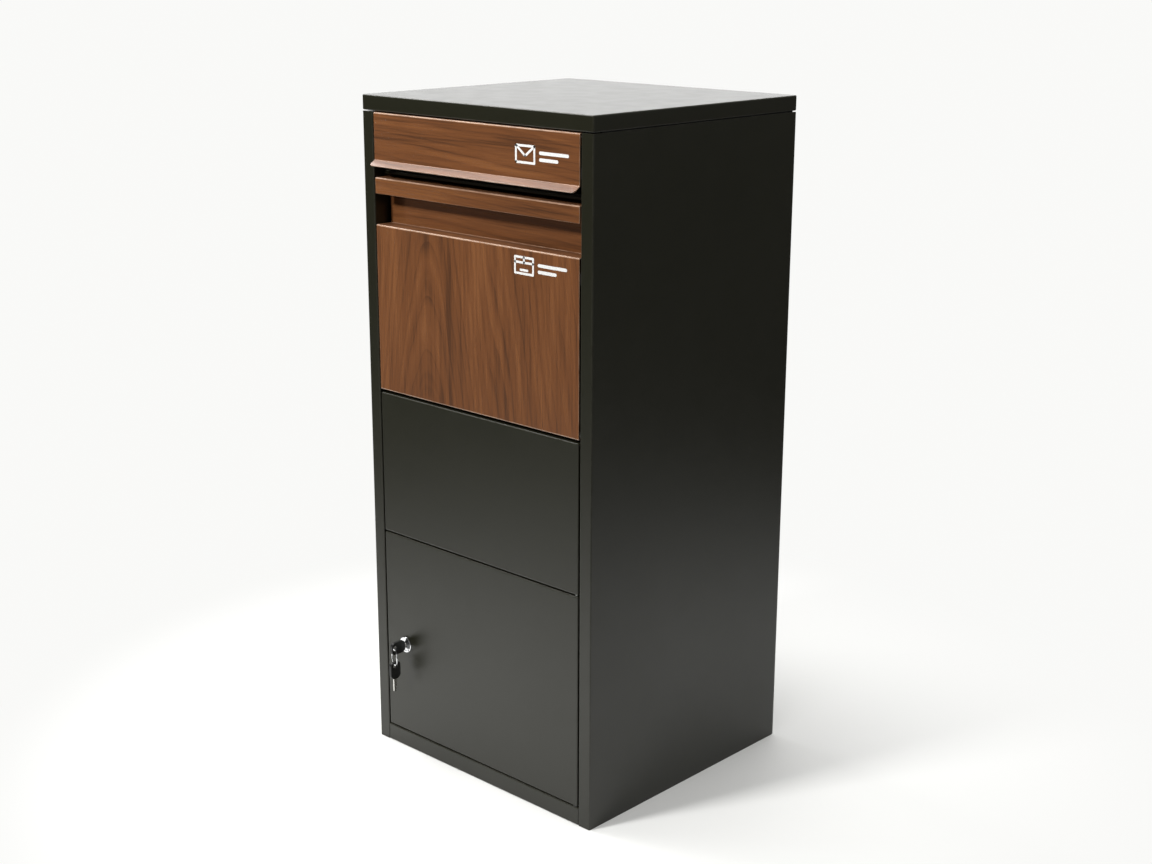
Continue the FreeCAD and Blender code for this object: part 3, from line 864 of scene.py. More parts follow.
class WoodFilm(EffectGroup):
    """A printed walnut film: arched growth rings, straight fibres and dark pores.

    The grain runs along the group's own Z axis. The rings are the cut of a slightly
    leaning trunk, which gives pointed arches near the pith and straight lines beside it.
    """

    name = "Walnut film"
    takes = {"Place": ("Vector", None), "Pith": ("Float", -0.1), "Lean": ("Float", 0.09),
             "Ring width": ("Float", 0.011), "Dark": ("Color", (0.070, 0.0270, 0.0105, 1)),
             "Mid": ("Color", (0.152, 0.0555, 0.0185, 1)), "Light": ("Color", (0.208, 0.0815, 0.0280, 1))}
    gives = {"Color": "Color", "Height": "Float", "Roughness": "Float"}

    def wire(self, nodes: Nodes, given: bpy.types.Node) -> dict[str, bpy.types.NodeSocket]:
        """Build the rings, the fibres and the pores, and colour them.

        Args:
            nodes: The group's node tree.
            given: The group's input node.

        Returns:
            The socket for each output, by the output's name.
        """
        place = given.outputs["Place"]
        parts = nodes.add("SeparateXYZ", {"Vector": place})
        wander = nodes.noise(nodes.stretched(place, Vector((9.0, 9.0, 1.5))), 1.0, 4.0, 0.5)
        sway = nodes.math("MULTIPLY", nodes.math("SUBTRACT", wander, 0.5), 0.060)
        across = nodes.math("ADD", nodes.math("SUBTRACT", parts.outputs["X"], given.outputs["Pith"]), sway)
        square = nodes.math("MULTIPLY", across, across)
        lean = nodes.math("MULTIPLY", parts.outputs["Z"], given.outputs["Lean"])
        radius = nodes.math("SQRT", nodes.math("ADD", square, 0.0009))
        ring = nodes.math("DIVIDE", nodes.math("ADD", radius, lean), given.outputs["Ring width"])
        bands = nodes.noise(nodes.add("CombineXYZ", {"X": ring, "Y": 3.7}).outputs[0], 1.0, 3.0, 0.6)
        saw = nodes.math("FRACT", ring)
        late = nodes.math("POWER", saw, 5.0)
        fibre = nodes.noise(nodes.stretched(place, Vector((420.0, 420.0, 9.0))), 1.0, 4.0, 0.6)
        streak = nodes.noise(nodes.stretched(place, Vector((70.0, 70.0, 3.0))), 1.0, 4.0, 0.6)
        pores = nodes.noise(nodes.stretched(place, Vector((1500.0, 1500.0, 55.0))), 1.0, 2.0, 0.5)
        pore = nodes.remap(pores, 0.60, 0.72)
        patch = nodes.noise(nodes.stretched(place, Vector((14.0, 14.0, 3.0))), 1.0, 3.0, 0.5)
        light = nodes.math("ADD", nodes.math("MULTIPLY", bands, 0.75), nodes.math("MULTIPLY", fibre, 0.70))
        light = nodes.math("ADD", light, nodes.math("MULTIPLY", streak, 0.75))
        light = nodes.math("ADD", light, nodes.math("MULTIPLY", patch, 0.45))
        light = nodes.math("SUBTRACT", light, nodes.math("MULTIPLY", late, 0.17))
        level = nodes.remap(light, 0.85, 1.73)
        ramp = nodes.mix(nodes.remap(level, 0.0, 0.55), given.outputs["Dark"], given.outputs["Mid"])
        ramp = nodes.mix(nodes.remap(level, 0.5, 1.0), ramp, given.outputs["Light"])
        dark_pore = nodes.mix(nodes.math("MULTIPLY", pore, 0.45), ramp, given.outputs["Dark"])
        height = nodes.math("SUBTRACT", nodes.math("MULTIPLY", fibre, 0.5),
                            nodes.math("MULTIPLY", pore, 0.8))
        rough = nodes.math("ADD", nodes.math("MULTIPLY", level, -0.08), nodes.math("MULTIPLY", pore, 0.12))
        return {"Color": dark_pore, "Height": height, "Roughness": rough}


class Scuffs(EffectGroup):
    """Short hair-fine scratches in two directions."""

    name = "Hair scratches"
    takes = {"Place": ("Vector", None), "Density": ("Float", 0.5)}
    gives = {"Mask": "Float"}

    def wire(self, nodes: Nodes, given: bpy.types.Node) -> dict[str, bpy.types.NodeSocket]:
        """Cut thin lines out of two stretched noises and fade them in patches.

        Args:
            nodes: The group's node tree.
            given: The group's input node.

        Returns:
            The socket for each output, by the output's name.
        """
        place = given.outputs["Place"]
        total = None
        for turn, scale in ((0.4, (40.0, 900.0, 900.0)), (-0.9, (900.0, 900.0, 32.0))):
            turned = nodes.add("Mapping", {"Vector": place, "Rotation": (0.2, turn, 0.3)}).outputs[0]
            lines = nodes.noise(nodes.stretched(turned, Vector(scale)), 1.0, 2.0, 0.5)
            thin = nodes.remap(lines, 0.70, 0.76)
            total = thin if total is None else nodes.math("MAXIMUM", total, thin)
        patches = nodes.remap(nodes.noise(place, 22.0, 3.0, 0.5), 0.45, 0.7)
        faded = nodes.math("MULTIPLY", total, nodes.math("MULTIPLY", patches, given.outputs["Density"]))
        return {"Mask": faded}


# ------------------------------------------------------------------ finishes

@dataclass(frozen=True)
class Finish:
    """What every finish has: a name and a way to make its material.

    Attributes:
        name: The material's name.
        shows_folds: Whether it paints a highlight along the folds, which are then marked on the mesh.
    """

    name: str
    shows_folds: ClassVar[bool] = False

    def material(self) -> bpy.types.Material:
        """Return the finish's material, built the first time it is asked for.

        Returns:
            The material.
        """
        found = bpy.data.materials.get(self.name)
        if found:
            return found
        material = bpy.data.materials.new(self.name)
        material.use_nodes = True
        nodes = Nodes(material.node_tree)
        shader = next(node for node in material.node_tree.nodes if node.type == "BSDF_PRINCIPLED")
        place = nodes.add("TexCoord").outputs["Object"]
        self.wire(nodes, shader, place)
        return material

    def wire(self, nodes: Nodes, shader: bpy.types.Node, place: bpy.types.NodeSocket) -> None:
        """Wire the finish's nodes into the shader.

        Args:
            nodes: The material's node tree.
            shader: Its Principled BSDF.
            place: The Object coordinates.
        """
        raise NotImplementedError

    def dress(self, obj: bpy.types.Object) -> bpy.types.Object:
        """Give a piece this finish alone.

        Args:
            obj: The piece or CAD node.

        Returns:
            The same object.
        """
        if not obj.material_slots:
            obj.data.materials.append(self.material())
        for slot in obj.material_slots:
            slot.material = self.material()
        return obj


@dataclass(frozen=True)
class PowderCoat(Finish):
    """A satin powder coat on steel.

    Attributes:
        shade: The coat's own colour.
        pale: The colour of the palest clouds in the coat.
        gloss: The coat's mean roughness.
        wear: How strongly the edges are rubbed and the folds painted with a highlight.
        dust: How much dust lies on upward faces.
        rubbed: The colour of a rubbed edge, and of the painted highlight along the folds.
        scratched: The colour of a scratch.
        dusted: The colour of the dust.
    """

    shows_folds: ClassVar[bool] = True
    shade: Colour = (0.0098, 0.0098, 0.0042)
    pale: Colour = (0.0118, 0.0116, 0.0056)
    gloss: float = 0.36
    wear: float = 0.15
    dust: float = 0.02
    rubbed: Colour = (0.10, 0.098, 0.080)
    scratched: Colour = (0.08, 0.078, 0.065)
    dusted: Colour = (0.32, 0.30, 0.26)

    def wire(self, nodes: Nodes, shader: bpy.types.Node, place: bpy.types.NodeSocket) -> None:
        """Wire tone, orange peel, edge wear with a painted fold highlight, scratches and dust into the
        shader.

        Args:
            nodes: The material's node tree.
            shader: The material's Principled shader.
            place: The Object coordinates.
        """
        peel = OrangePeel().use(nodes, Place=place)
        folds = nodes.add("Attribute", attribute_name=FOLD_MARK).outputs["Fac"]
        edge_mask = EdgeWearAndFoldHighlight().use(nodes, Place=place, Fold=folds).outputs["Mask"]
        edge_mask = nodes.math("MULTIPLY", edge_mask, self.wear)
        lines = Scuffs().use(nodes, Place=place, Density=0.35).outputs["Mask"]
        dust = Dust().use(nodes, Place=place, Amount=self.dust, Film=0.004).outputs["Mask"]
        colour = nodes.mix(peel.outputs["Tone"], self.shade, self.pale)
        # One colour serves both the rubbed edges and the painted highlight along the marked folds.
        colour = nodes.mix(edge_mask, colour, self.rubbed)
        colour = nodes.mix(nodes.math("MULTIPLY", lines, 0.4), colour, self.scratched)
        colour = nodes.mix(dust, colour, self.dusted)
        rough = nodes.math("MULTIPLY", peel.outputs["Roughness"], 0.03)
        rough = nodes.math("ADD", rough, self.gloss - 0.015)
        rough = nodes.math("SUBTRACT", rough, nodes.math("MULTIPLY", edge_mask, 0.16))
        rough = nodes.math("ADD", rough, nodes.math("MULTIPLY", dust, 0.8), clamp=True)
        bump = nodes.add("Bump", {"Height": peel.outputs["Height"], "Strength": 0.22, "Distance": 0.00006})
        nodes.feed(shader, "Base Color", colour)
        nodes.feed(shader, "Roughness", rough)
        nodes.feed(shader, "Normal", bump.outputs[0])


class Grain(Enum):
    """Which way the grain of the wood film runs on a piece."""

    UPRIGHT = "upright"
    LEVEL = "level"
    DOOR = "door"


@dataclass(frozen=True)
class WoodEffect(Finish):
    """Walnut-effect film on a coated sheet.

    Attributes:
        grain: Which way the grain runs; the door has level grain above its ledge.
        split: The height where the door's grain changes direction, in metres.
        pith: The sideways place of the arches' peak, in metres.
        gloss: The film's mean roughness.
        rubbed: The colour of a rubbed edge, and of the painted highlight along the folds.
        scratched: The colour of a scratch.
        dusted: The colour of the dust.
    """

    shows_folds: ClassVar[bool] = True
    grain: Grain = Grain.LEVEL
    split: float = 0.8
    pith: float = -0.1
    gloss: float = 0.33
    rubbed: Colour = (0.50, 0.32, 0.22)
    scratched: Colour = (0.36, 0.2, 0.12)
    dusted: Colour = (0.38, 0.33, 0.28)

    def wire(self, nodes: Nodes, shader: bpy.types.Node, place: bpy.types.NodeSocket) -> None:
        """Wire one or two runs of grain, edge wear with a painted highlight along the folds, and dust into
        the shader.

        Args:
            nodes: The material's node tree.
            shader: The material's Principled shader.
            place: The Object coordinates.
        """
        film = self.run(nodes, place)
        folds = nodes.add("Attribute", attribute_name=FOLD_MARK).outputs["Fac"]
        edge_mask = EdgeWearAndFoldHighlight().use(nodes, Place=place, Fold=folds, Reach=0.0011, Breakup=34.0).outputs["Mask"]
        dust = Dust().use(nodes, Place=place, Amount=0.07, Film=0.008).outputs["Mask"]
        lines = Scuffs().use(nodes, Place=place, Density=0.25).outputs["Mask"]
        # One colour serves both the rubbed edges and the painted highlight along the marked folds.
        colour = nodes.mix(nodes.math("MULTIPLY", edge_mask, 0.85), film["Color"], self.rubbed)
        colour = nodes.mix(nodes.math("MULTIPLY", lines, 0.35), colour, self.scratched)
        colour = nodes.mix(dust, colour, self.dusted)
        rough = nodes.math("ADD", film["Roughness"], self.gloss)
        rough = nodes.math("SUBTRACT", rough, nodes.math("MULTIPLY", edge_mask, 0.14))
        rough = nodes.math("ADD", rough, nodes.math("MULTIPLY", dust, 0.7), clamp=True)
        bump = nodes.add("Bump", {"Height": film["Height"], "Strength": 0.25, "Distance": 0.00008})
        nodes.feed(shader, "Base Color", colour)
        nodes.feed(shader, "Roughness", rough)
        nodes.feed(shader, "Normal", bump.outputs[0])

    def run(self, nodes: Nodes, place: bpy.types.NodeSocket) -> dict[str, bpy.types.NodeSocket]:
        """Return the film's outputs for the piece's grain.

        Args:
            nodes: The material's node tree.
            place: The Object coordinates.

        Returns:
            The sockets for colour, height and roughness.
        """
        upright = None
        level = None
        if self.grain is not Grain.LEVEL:
            upright = self.upright_film(nodes, place)
        if self.grain is not Grain.UPRIGHT:
            level = self.level_film(nodes, place)
        if upright is None or level is None:
            film = upright or level
            return {label: film.outputs[label] for label in WoodFilm.gives}
        height = nodes.add("SeparateXYZ", {"Vector": place}).outputs["Z"]
        above = nodes.math("GREATER_THAN", height, self.split)
        outputs = {"Color": nodes.mix(above, upright.outputs["Color"], level.outputs["Color"])}
        for label in ("Height", "Roughness"):
            mixed = nodes.add("Mix", data_type="FLOAT")
            nodes.feed(mixed, 0, above)
            nodes.feed(mixed, 2, upright.outputs[label])
            nodes.feed(mixed, 3, level.outputs[label])
            outputs[label] = mixed.outputs[0]
        return outputs

    def upright_film(self, nodes: Nodes, place: bpy.types.NodeSocket) -> bpy.types.Node:
        """Place the film with its grain along Z and its arches around the pith."""
        low = nodes.add("Mapping", {"Vector": place, "Location": (0.0, 0.0, -0.60)}).outputs[0]
        return WoodFilm().use(nodes, Place=low, Pith=self.pith, Lean=0.16, Ring_width=0.0125)

    def level_film(self, nodes: Nodes, place: bpy.types.NodeSocket) -> bpy.types.Node:
        """Place the film with its grain along X, with long and nearly straight rings.

        Args:
            nodes: The material's node tree.
            place: The Object coordinates.

        Returns:
            The film's group node.
        """
        parts = nodes.add("SeparateXYZ", {"Vector": place})
        turned = nodes.add("CombineXYZ", {"X": parts.outputs["Z"], "Y": parts.outputs["Y"],
                                          "Z": parts.outputs["X"]}).outputs[0]
        return WoodFilm().use(nodes, Place=turned, Pith=0.62, Lean=0.03, Ring_width=0.010)


@dataclass(frozen=True)
class Metal(Finish):
    """Bare or plated metal.

    Attributes:
        shade: Its colour.
        gloss: Its mean roughness.
        grain: How fine its brushing is, across the lines.
        bump: How deep the brushing is.
        mottle: How strongly its colour changes in patches.
    """

    shade: Colour = (0.6, 0.6, 0.58)
    gloss: float = 0.25
    grain: float = 900.0
    bump: float = 0.15
    mottle: float = 0.25

    def wire(self, nodes: Nodes, shader: bpy.types.Node, place: bpy.types.NodeSocket) -> None:
        """Wire brushing, patches, scratches and handling marks into the shader.

        Args:
            nodes: The material's node tree.
            shader: The material's Principled shader.
            place: The Object coordinates.
        """
        lines = nodes.noise(nodes.stretched(place, Vector((self.grain, self.grain, 60.0))), 1.0, 3.0, 0.6)
        patches = nodes.remap(nodes.noise(place, 180.0, 4.0, 0.6), 0.3, 0.7)
        edge_mask = EdgeWearAndFoldHighlight().use(nodes, Place=place, Reach=0.0006, Breakup=300.0).outputs["Mask"]
        scratches = Scuffs().use(nodes, Place=place, Density=0.8).outputs["Mask"]
        darker = tuple(value * 0.62 for value in self.shade)
        colour = nodes.mix(nodes.math("MULTIPLY", patches, self.mottle), self.shade, darker)
        brighter = tuple(min(1.0, value * 1.3) for value in self.shade)
        colour = nodes.mix(nodes.math("MULTIPLY", edge_mask, 0.5), colour, brighter)
        rough = nodes.math("ADD", nodes.math("MULTIPLY", lines, 0.10), self.gloss - 0.05)
        rough = nodes.math("ADD", rough, nodes.math("MULTIPLY", patches, 0.08))
        rough = nodes.math("ADD", rough, nodes.math("MULTIPLY", scratches, 0.15), clamp=True)
        height = nodes.math("SUBTRACT", lines, nodes.math("MULTIPLY", scratches, 0.6))
        bump = nodes.add("Bump", {"Height": height, "Strength": self.bump, "Distance": 0.00003})
        shader.inputs["Metallic"].default_value = 1.0
        nodes.feed(shader, "Base Color", colour)
        nodes.feed(shader, "Roughness", rough)
        nodes.feed(shader, "Normal", bump.outputs[0])


@dataclass(frozen=True)
class Moulded(Finish):
    """Moulded plastic or rubber.

    Attributes:
        shade: Its colour.
        gloss: Its mean roughness.
        spark: How fine the mould's texture is.
        bump: How deep the texture is.
        ribs: How many ribs it has over a metre, or 0 for none.
    """

    shade: Colour = (0.02, 0.02, 0.02)
    gloss: float = 0.42
    spark: float = 1500.0
    bump: float = 0.25
    ribs: float = 0.0

    def wire(self, nodes: Nodes, shader: bpy.types.Node, place: bpy.types.NodeSocket) -> None:
        """Wire the mould's texture, ribs, scuffs and dust into the shader.

        Args:
            nodes: The material's node tree.
            shader: The material's Principled shader.
            place: The Object coordinates.
        """
        spark = nodes.noise(place, self.spark, 2.0, 0.5)
        clouds = nodes.remap(nodes.noise(place, 60.0, 4.0, 0.6), 0.3, 0.7)
        edge_mask = EdgeWearAndFoldHighlight().use(nodes, Place=place, Reach=0.0006, Breakup=260.0).outputs["Mask"]
        dust = Dust().use(nodes, Place=place, Amount=0.03, Film=0.004).outputs["Mask"]
        paler = tuple(value * 1.4 + 0.002 for value in self.shade)
        colour = nodes.mix(nodes.math("MULTIPLY", clouds, 0.5), self.shade, paler)
        rubbed = tuple(value * 2 + 0.012 for value in self.shade)
        colour = nodes.mix(nodes.math("MULTIPLY", edge_mask, 0.4), colour, rubbed)
        colour = nodes.mix(dust, colour, (0.3, 0.29, 0.26))
        rough = nodes.math("ADD", nodes.math("MULTIPLY", clouds, 0.12), self.gloss - 0.06)
        rough = nodes.math("ADD", rough, nodes.math("MULTIPLY", dust, 0.5), clamp=True)
        height = nodes.math("MULTIPLY", spark, 0.2)
        if self.ribs:
            across = nodes.add("SeparateXYZ", {"Vector": place}).outputs["X"]
            wave = nodes.math("SINE", nodes.math("MULTIPLY", across, self.ribs * 2 * math.pi))
            height = nodes.math("ADD", height, nodes.remap(wave, -0.4, 0.5, 0.0, 12.0))
        bump = nodes.add("Bump", {"Height": height, "Strength": self.bump, "Distance": 0.0001})
        nodes.feed(shader, "Base Color", colour)
        nodes.feed(shader, "Roughness", rough)
        nodes.feed(shader, "Normal", bump.outputs[0])


@dataclass(frozen=True)
class PrintedInk(Finish):
    """Opaque screen-printed ink, slightly uneven and a little worn.

    Attributes:
        shade: The ink's colour.
    """

    shade: Colour = (0.90, 0.90, 0.88)

    def wire(self, nodes: Nodes, shader: bpy.types.Node, place: bpy.types.NodeSocket) -> None:
        """Wire mottled ink, small wear marks and a fine screen texture into the shader.

        Args:
            nodes: The material's node tree.
            shader: The material's Principled shader.
            place: The Object coordinates.
        """
        mottled = nodes.remap(nodes.noise(place, 420.0, 4.0, 0.6), 0.3, 0.7)
        rubbed = nodes.remap(nodes.noise(place, 160.0, 6.0, 0.65), 0.66, 0.76)
        darker = tuple(value * 0.86 for value in self.shade)
        colour = nodes.mix(mottled, darker, self.shade)
        colour = nodes.mix(nodes.math("MULTIPLY", rubbed, 0.35), colour, (0.35, 0.28, 0.22))
        rough = nodes.math("ADD", nodes.math("MULTIPLY", mottled, 0.12), 0.42)
        bump = nodes.add("Bump", {"Height": mottled, "Strength": 0.12, "Distance": 0.00004})
        nodes.feed(shader, "Base Color", colour)
        nodes.feed(shader, "Roughness", rough)
        nodes.feed(shader, "Normal", bump.outputs[0])


@dataclass(frozen=True)
class StudioFloor(Finish):
    """A pale seamless floor that runs out to an even white.

    Attributes:
        shade: Its colour.
        far: The brightness it runs out to.
        near: The distance where it starts to run out, in metres.
        reach: The distance where it has run out.
        spill: How bright the floor two metres away is in reflections.
        horizon: How bright the floor past four metres is in reflections.
        bounce: How much of its light the floor throws back on the object.
        dimming: Where its reflection starts and ends to dim, in metres.
        brightening: Where its reflection starts and ends to brighten again, in metres.
    """

    shade: Colour = (0.86, 0.86, 0.84)
    far: Colour = (0.950, 0.950, 0.935)
    near: float = 0.28
    reach: float = 0.95
    spill: float = 0.06
    horizon: float = 0.32
    bounce: float = 0.18
    dimming: Point = (0.55, 1.9)
    brightening: Point = (2.4, 4.2)

    def wire(self, nodes: Nodes, shader: bpy.types.Node, place: bpy.types.NodeSocket) -> None:
        """Wire a matt floor with the faintest clouds, and its far part.

        Args:
            nodes: The material's node tree.
            shader: The material's Principled shader.
            place: The Object coordinates.
        """
        clouds = nodes.remap(nodes.noise(place, 1.2, 2.0, 0.5), 0.3, 0.7)
        darker = tuple(value * 0.985 for value in self.shade)
        away = nodes.add("VectorMath", {0: place}, operation="LENGTH").outputs["Value"]
        path = nodes.add("LightPath")
        pale = nodes.mix(clouds, darker, self.shade)
        # In reflections the floor is painted darker with distance and lighter again far out, a painted
        # fall-off of the light on it.
        dim = tuple(value * self.spill for value in self.shade)
        fading = nodes.mix(nodes.remap(away, *self.dimming), pale, dim)
        bright = tuple(value * self.horizon for value in self.shade)
        fading = nodes.mix(nodes.remap(away, *self.brightening), fading, bright)
        thrown = nodes.mix(path.outputs["Is Diffuse Ray"], pale, tuple(v * self.bounce for v in self.shade))
        nodes.feed(shader, "Base Color", nodes.mix(path.outputs["Is Glossy Ray"], thrown, fading))
        shader.inputs["Roughness"].default_value = 0.6
        shader.inputs["Specular IOR Level"].default_value = 0.15
        white = nodes.add("Emission", {"Color": (*self.far, 1.0), "Strength": 1.0})
        share = nodes.remap(away, self.near, self.reach)
        share = nodes.math("MULTIPLY", share, path.outputs["Is Camera Ray"])
        both = nodes.add("MixShader", {0: share, 1: shader.outputs[0], 2: white.outputs[0]})
        end = next(node for node in nodes.tree.nodes if node.type == "OUTPUT_MATERIAL")
        nodes.tree.links.new(both.outputs[0], end.inputs["Surface"])


@dataclass(frozen=True)
class Finishes:
    """All the finishes of the drop box."""

    coat: PowderCoat = PowderCoat("charcoal_powder_coat")
    inner_coat: PowderCoat = PowderCoat("inner_powder_coat", gloss=0.44, wear=0.25, dust=0.16)
    flap_wood: WoodEffect = WoodEffect("walnut_film_level")
    door_wood: WoodEffect = WoodEffect("walnut_film_door", grain=Grain.DOOR, split=0.8150)
    zinc: Metal = Metal("zinc_plate", shade=(0.55, 0.56, 0.54), gloss=0.34, mottle=0.5)
    chrome: Metal = Metal("polished_chrome", shade=(0.82, 0.83, 0.85), gloss=0.10, bump=0.04, mottle=0.08)
    nickel: Metal = Metal("nickel_plate", shade=(0.70, 0.69, 0.66), gloss=0.22, bump=0.10, mottle=0.2)
    black_plastic: Moulded = Moulded("black_moulded_plastic", shade=(0.006, 0.006, 0.006), gloss=0.5)
    rubber: Moulded = Moulded("black_rubber", shade=(0.016, 0.016, 0.016), gloss=0.66, spark=900.0)
    ribbed_rubber: Moulded = Moulded("ribbed_rubber", shade=(0.02, 0.02, 0.02), gloss=0.7, ribs=200.0)
    nylon: Moulded = Moulded("black_nylon", shade=(0.022, 0.022, 0.021), gloss=0.45)
    ink: PrintedInk = PrintedInk("white_ink")
    floor: StudioFloor = StudioFloor("pale_floor")


FINISHES = Finishes()


# ------------------------------------------------------------------ sub-assemblies

def place_piece(obj: bpy.types.Object, body: Body, finish: Finish, slot: str,
                *nodes: str) -> bpy.types.Object:
    """Dress a finished piece, hang it on its body and let it stand for its CAD nodes.

    Args:
        obj: The finished piece.
        body: The body it moves with.
        finish: Its finish.
        slot: The record's material slot; not used.
        *nodes: The CAD nodes it stands for.

    Returns:
        The same piece.
    """
    if finish.shows_folds:
        mark_folds(obj)
    finish.dress(obj)
    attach(obj, body.value)
    if nodes:
        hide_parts(*nodes)
    log.info("%s: %d faces, rides on %s", obj.name, len(obj.data.polygons), body.value)
    return obj


@dataclass
class Cabinet:
    """The fixed shell: side panels, lid, plinth, middle panel and rear rivets.

    Attributes:
        return_depth: How far the front stiles are returned into the opening.
        lid_return: Width of the flange folded in under the lid.
        rivet_rows: How many rivets each rear flange has.
        rivet_head: Radius of a rivet's head.
        gauge: The sheet's thickness and fold radius.
    """

    return_depth: float = 18 * MM
    lid_return: float = 20 * MM
    rivet_rows: int = 6
    rivet_head: float = 3.5 * MM
    gauge: Gauge = field(default_factory=Gauge)

    def build(self) -> None:
        """Build and dress every piece of the shell."""
        self.side_panels()
        self.lid()
        self.front_trays()
        self.rivets()

    def side_panels(self) -> None:
        """Build the right side panel, then its mirrored twin."""
        right = self.side_panel()
        left = mirrored_copy(right, "left_side_shell")
        smooth(left)
        place_piece(right, Body.CABINET, FINISHES.coat, "coat", "right_side_panel")
        place_piece(left, Body.CABINET, FINISHES.coat, "coat", "left_side_panel")

    def side_panel(self) -> bpy.types.Object:
        """Fold the right side panel and lay its top flange inside it.

        Returns:
            The finished panel.
        """
        low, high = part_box("right_side_panel")
        inner = low.x + self.gauge.thickness
        path = [(low.x, low.y + self.return_depth), (low.x, low.y), (high.x, low.y),
                (high.x, high.y), (inner, high.y)]
        wall = FoldedSheet("right_side_shell", path, Plane.XY, low.z, high.z, self.gauge).build()
        inset = Vector((0.3, 0.3, 0)) * MM
        under = Vector((low.x, low.y, high.z - self.gauge.thickness))
        top = block("top_flange", under + inset, high - inset)
        round_rims(top, self.gauge.rim)
        smooth(top)
        top.data.transform(Matrix.Translation((0, 0, -0.1 * MM)))
        return merge("right_side_shell", [wall, top])

    def lid(self) -> None:
        """Build the lid: a cap with rounded edges and a flange folded in underneath."""
        low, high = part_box("lid")
        obj = block("lid_cap", low, high)
        with editing(obj, Select.FACE):
            pick_faces(obj, lambda middle, normal: normal.z < -0.9)
            bpy.ops.mesh.inset(thickness=self.lid_return)
            bpy.ops.mesh.delete(type="FACE")
        edge = high.x - 1e-5
        with editing(obj, Select.EDGE):
            pick_edges(obj, lambda a, b: abs(a.x) > edge and abs(b.x) > edge)
            bpy.ops.mesh.bevel(offset=self.gauge.outside, segments=self.gauge.steps, affect="EDGES")
        finish_with(obj, "SOLIDIFY", thickness=self.gauge.thickness, offset=-1, use_even_offset=True)
        round_rims(obj, self.gauge.rim)
        smooth(obj)
        place_piece(obj, Body.CABINET, FINISHES.coat, "coat", "lid")

    def front_trays(self) -> None:
        """Build the plinth under the door and the fixed panel above it."""
        for name, node in (("plinth_panel", "front_plinth"), ("middle_panel", "middle_front_panel")):
            obj = FoldedTray(name, *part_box(node), self.gauge).build()
            place_piece(obj, Body.CABINET, FINISHES.coat, "coat", node)

    def rivets(self) -> None:
        """Turn one blind rivet and copy it up both rear flanges."""
        low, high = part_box("back_rivets")
        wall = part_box("back_panel")[1].y
        head = self.rivet_head
        profile = [(0.57, -5.5), (0.8, -5.2), (0.8, -3.2), (0.57, -3.0), (0.57, 0.0), (1.0, 0.0),
                   (1.0, 0.3), (0.93, 0.7), (0.78, 1.0), (0.58, 1.17), (0.36, 1.2), (0.31, 1.1), (0.29, 0.4)]
        rings = [(share * head, level * MM) for share, level in profile]
        first = TurnedPart("rear_rivet", Vector((0, wall, 0)), Vector((0, 1, 0)), rings, 28).build()
        smooth(first, 35)
        across = high.x - head
        bottom = low.z + head
        pitch = (high.z - head - bottom) / (self.rivet_rows - 1)
        copies = []
        for side in (-1, 1):
            for row in range(self.rivet_rows):
                move = Vector((side * across, 0, bottom + pitch * row))
                copies.append(copy_of(first, "rear_rivet_copy", move))
        bpy.data.objects.remove(first)
        obj = merge("rear_rivets", copies)
        place_piece(obj, Body.CABINET, FINISHES.zinc, "zinc", "back_rivets")


@dataclass
class LetterFlap:
    """The lift-up flap: one folded sheet with a finger lip and an ear at each end.

    Attributes:
        lip_drop: How far the lip slopes down.
        lip_corner: Radius of the lip's two front corners.
        ear_drop: How far the ears reach down.
        gauge: The sheet's thickness and fold radius.
    """

    lip_drop: float = 7 * MM
    lip_corner: float = 5 * MM
    ear_drop: float = 16 * MM
    gauge: Gauge = field(default_factory=Gauge)

    def build(self) -> None:
        """Build the flap and dress it."""
        low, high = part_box("letter_flap")
        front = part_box("parcel_door_skin")[0].y
        fold = low.z + self.lip_drop
        path = [(high.y, high.z), (front, high.z), (front, fold), (low.y, low.z)]
        sheet = FoldedSheet("flap_sheet", path, Plane.YZ, low.x, high.x, self.gauge)
        obj = sheet.build(self.round_lip)
        ears = [self.ear(side, front, low, high) for side in (-1, 1)]
        flap = merge("flap_sheet", [obj, *ears])
        place_piece(flap, Body.FLAP, FINISHES.flap_wood, "wood_effect", "letter_flap")

    def round_lip(self, obj: bpy.types.Object) -> None:
        """Round the two front corners of the lip.

        Args:
            obj: The flap's surface, before it gets its thickness.
        """
        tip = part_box("letter_flap")[0].y + 1e-5
        with editing(obj, Select.VERT):
            pick_verts(obj, lambda place: place.y < tip)
            bpy.ops.mesh.bevel(offset=self.lip_corner, segments=8, affect="VERTICES")

    def ear(self, side: int, front: float, low: Vector, high: Vector) -> bpy.types.Object:
        """Build the ear that turns on the hinge pin at one end of the flap.

        Args:
            side: -1 for the left end, 1 for the right one.
            front: The depth of the flap's face.
            low: The flap's lowest corner.
            high: The flap's highest corner.

        Returns:
            The ear, with its free lower corner rounded.
        """
        thick = self.gauge.thickness
        outer = side * (high.x - 0.02 * MM)
        inner = side * (high.x - thick)
        bottom = Vector((min(outer, inner), front + thick, high.z - self.ear_drop))
        top = Vector((max(outer, inner), high.y, high.z - thick))
        obj = block("flap_ear", bottom, top)
        with editing(obj, Select.EDGE):
            pick_edges(obj, lambda a, b: min(a.y, b.y) > high.y - 1e-5 and max(a.z, b.z) < bottom.z + 1e-5)
            bpy.ops.mesh.bevel(offset=4 * MM, segments=6, affect="EDGES")
        round_rims(obj, self.gauge.rim)
        smooth(obj)
        return obj


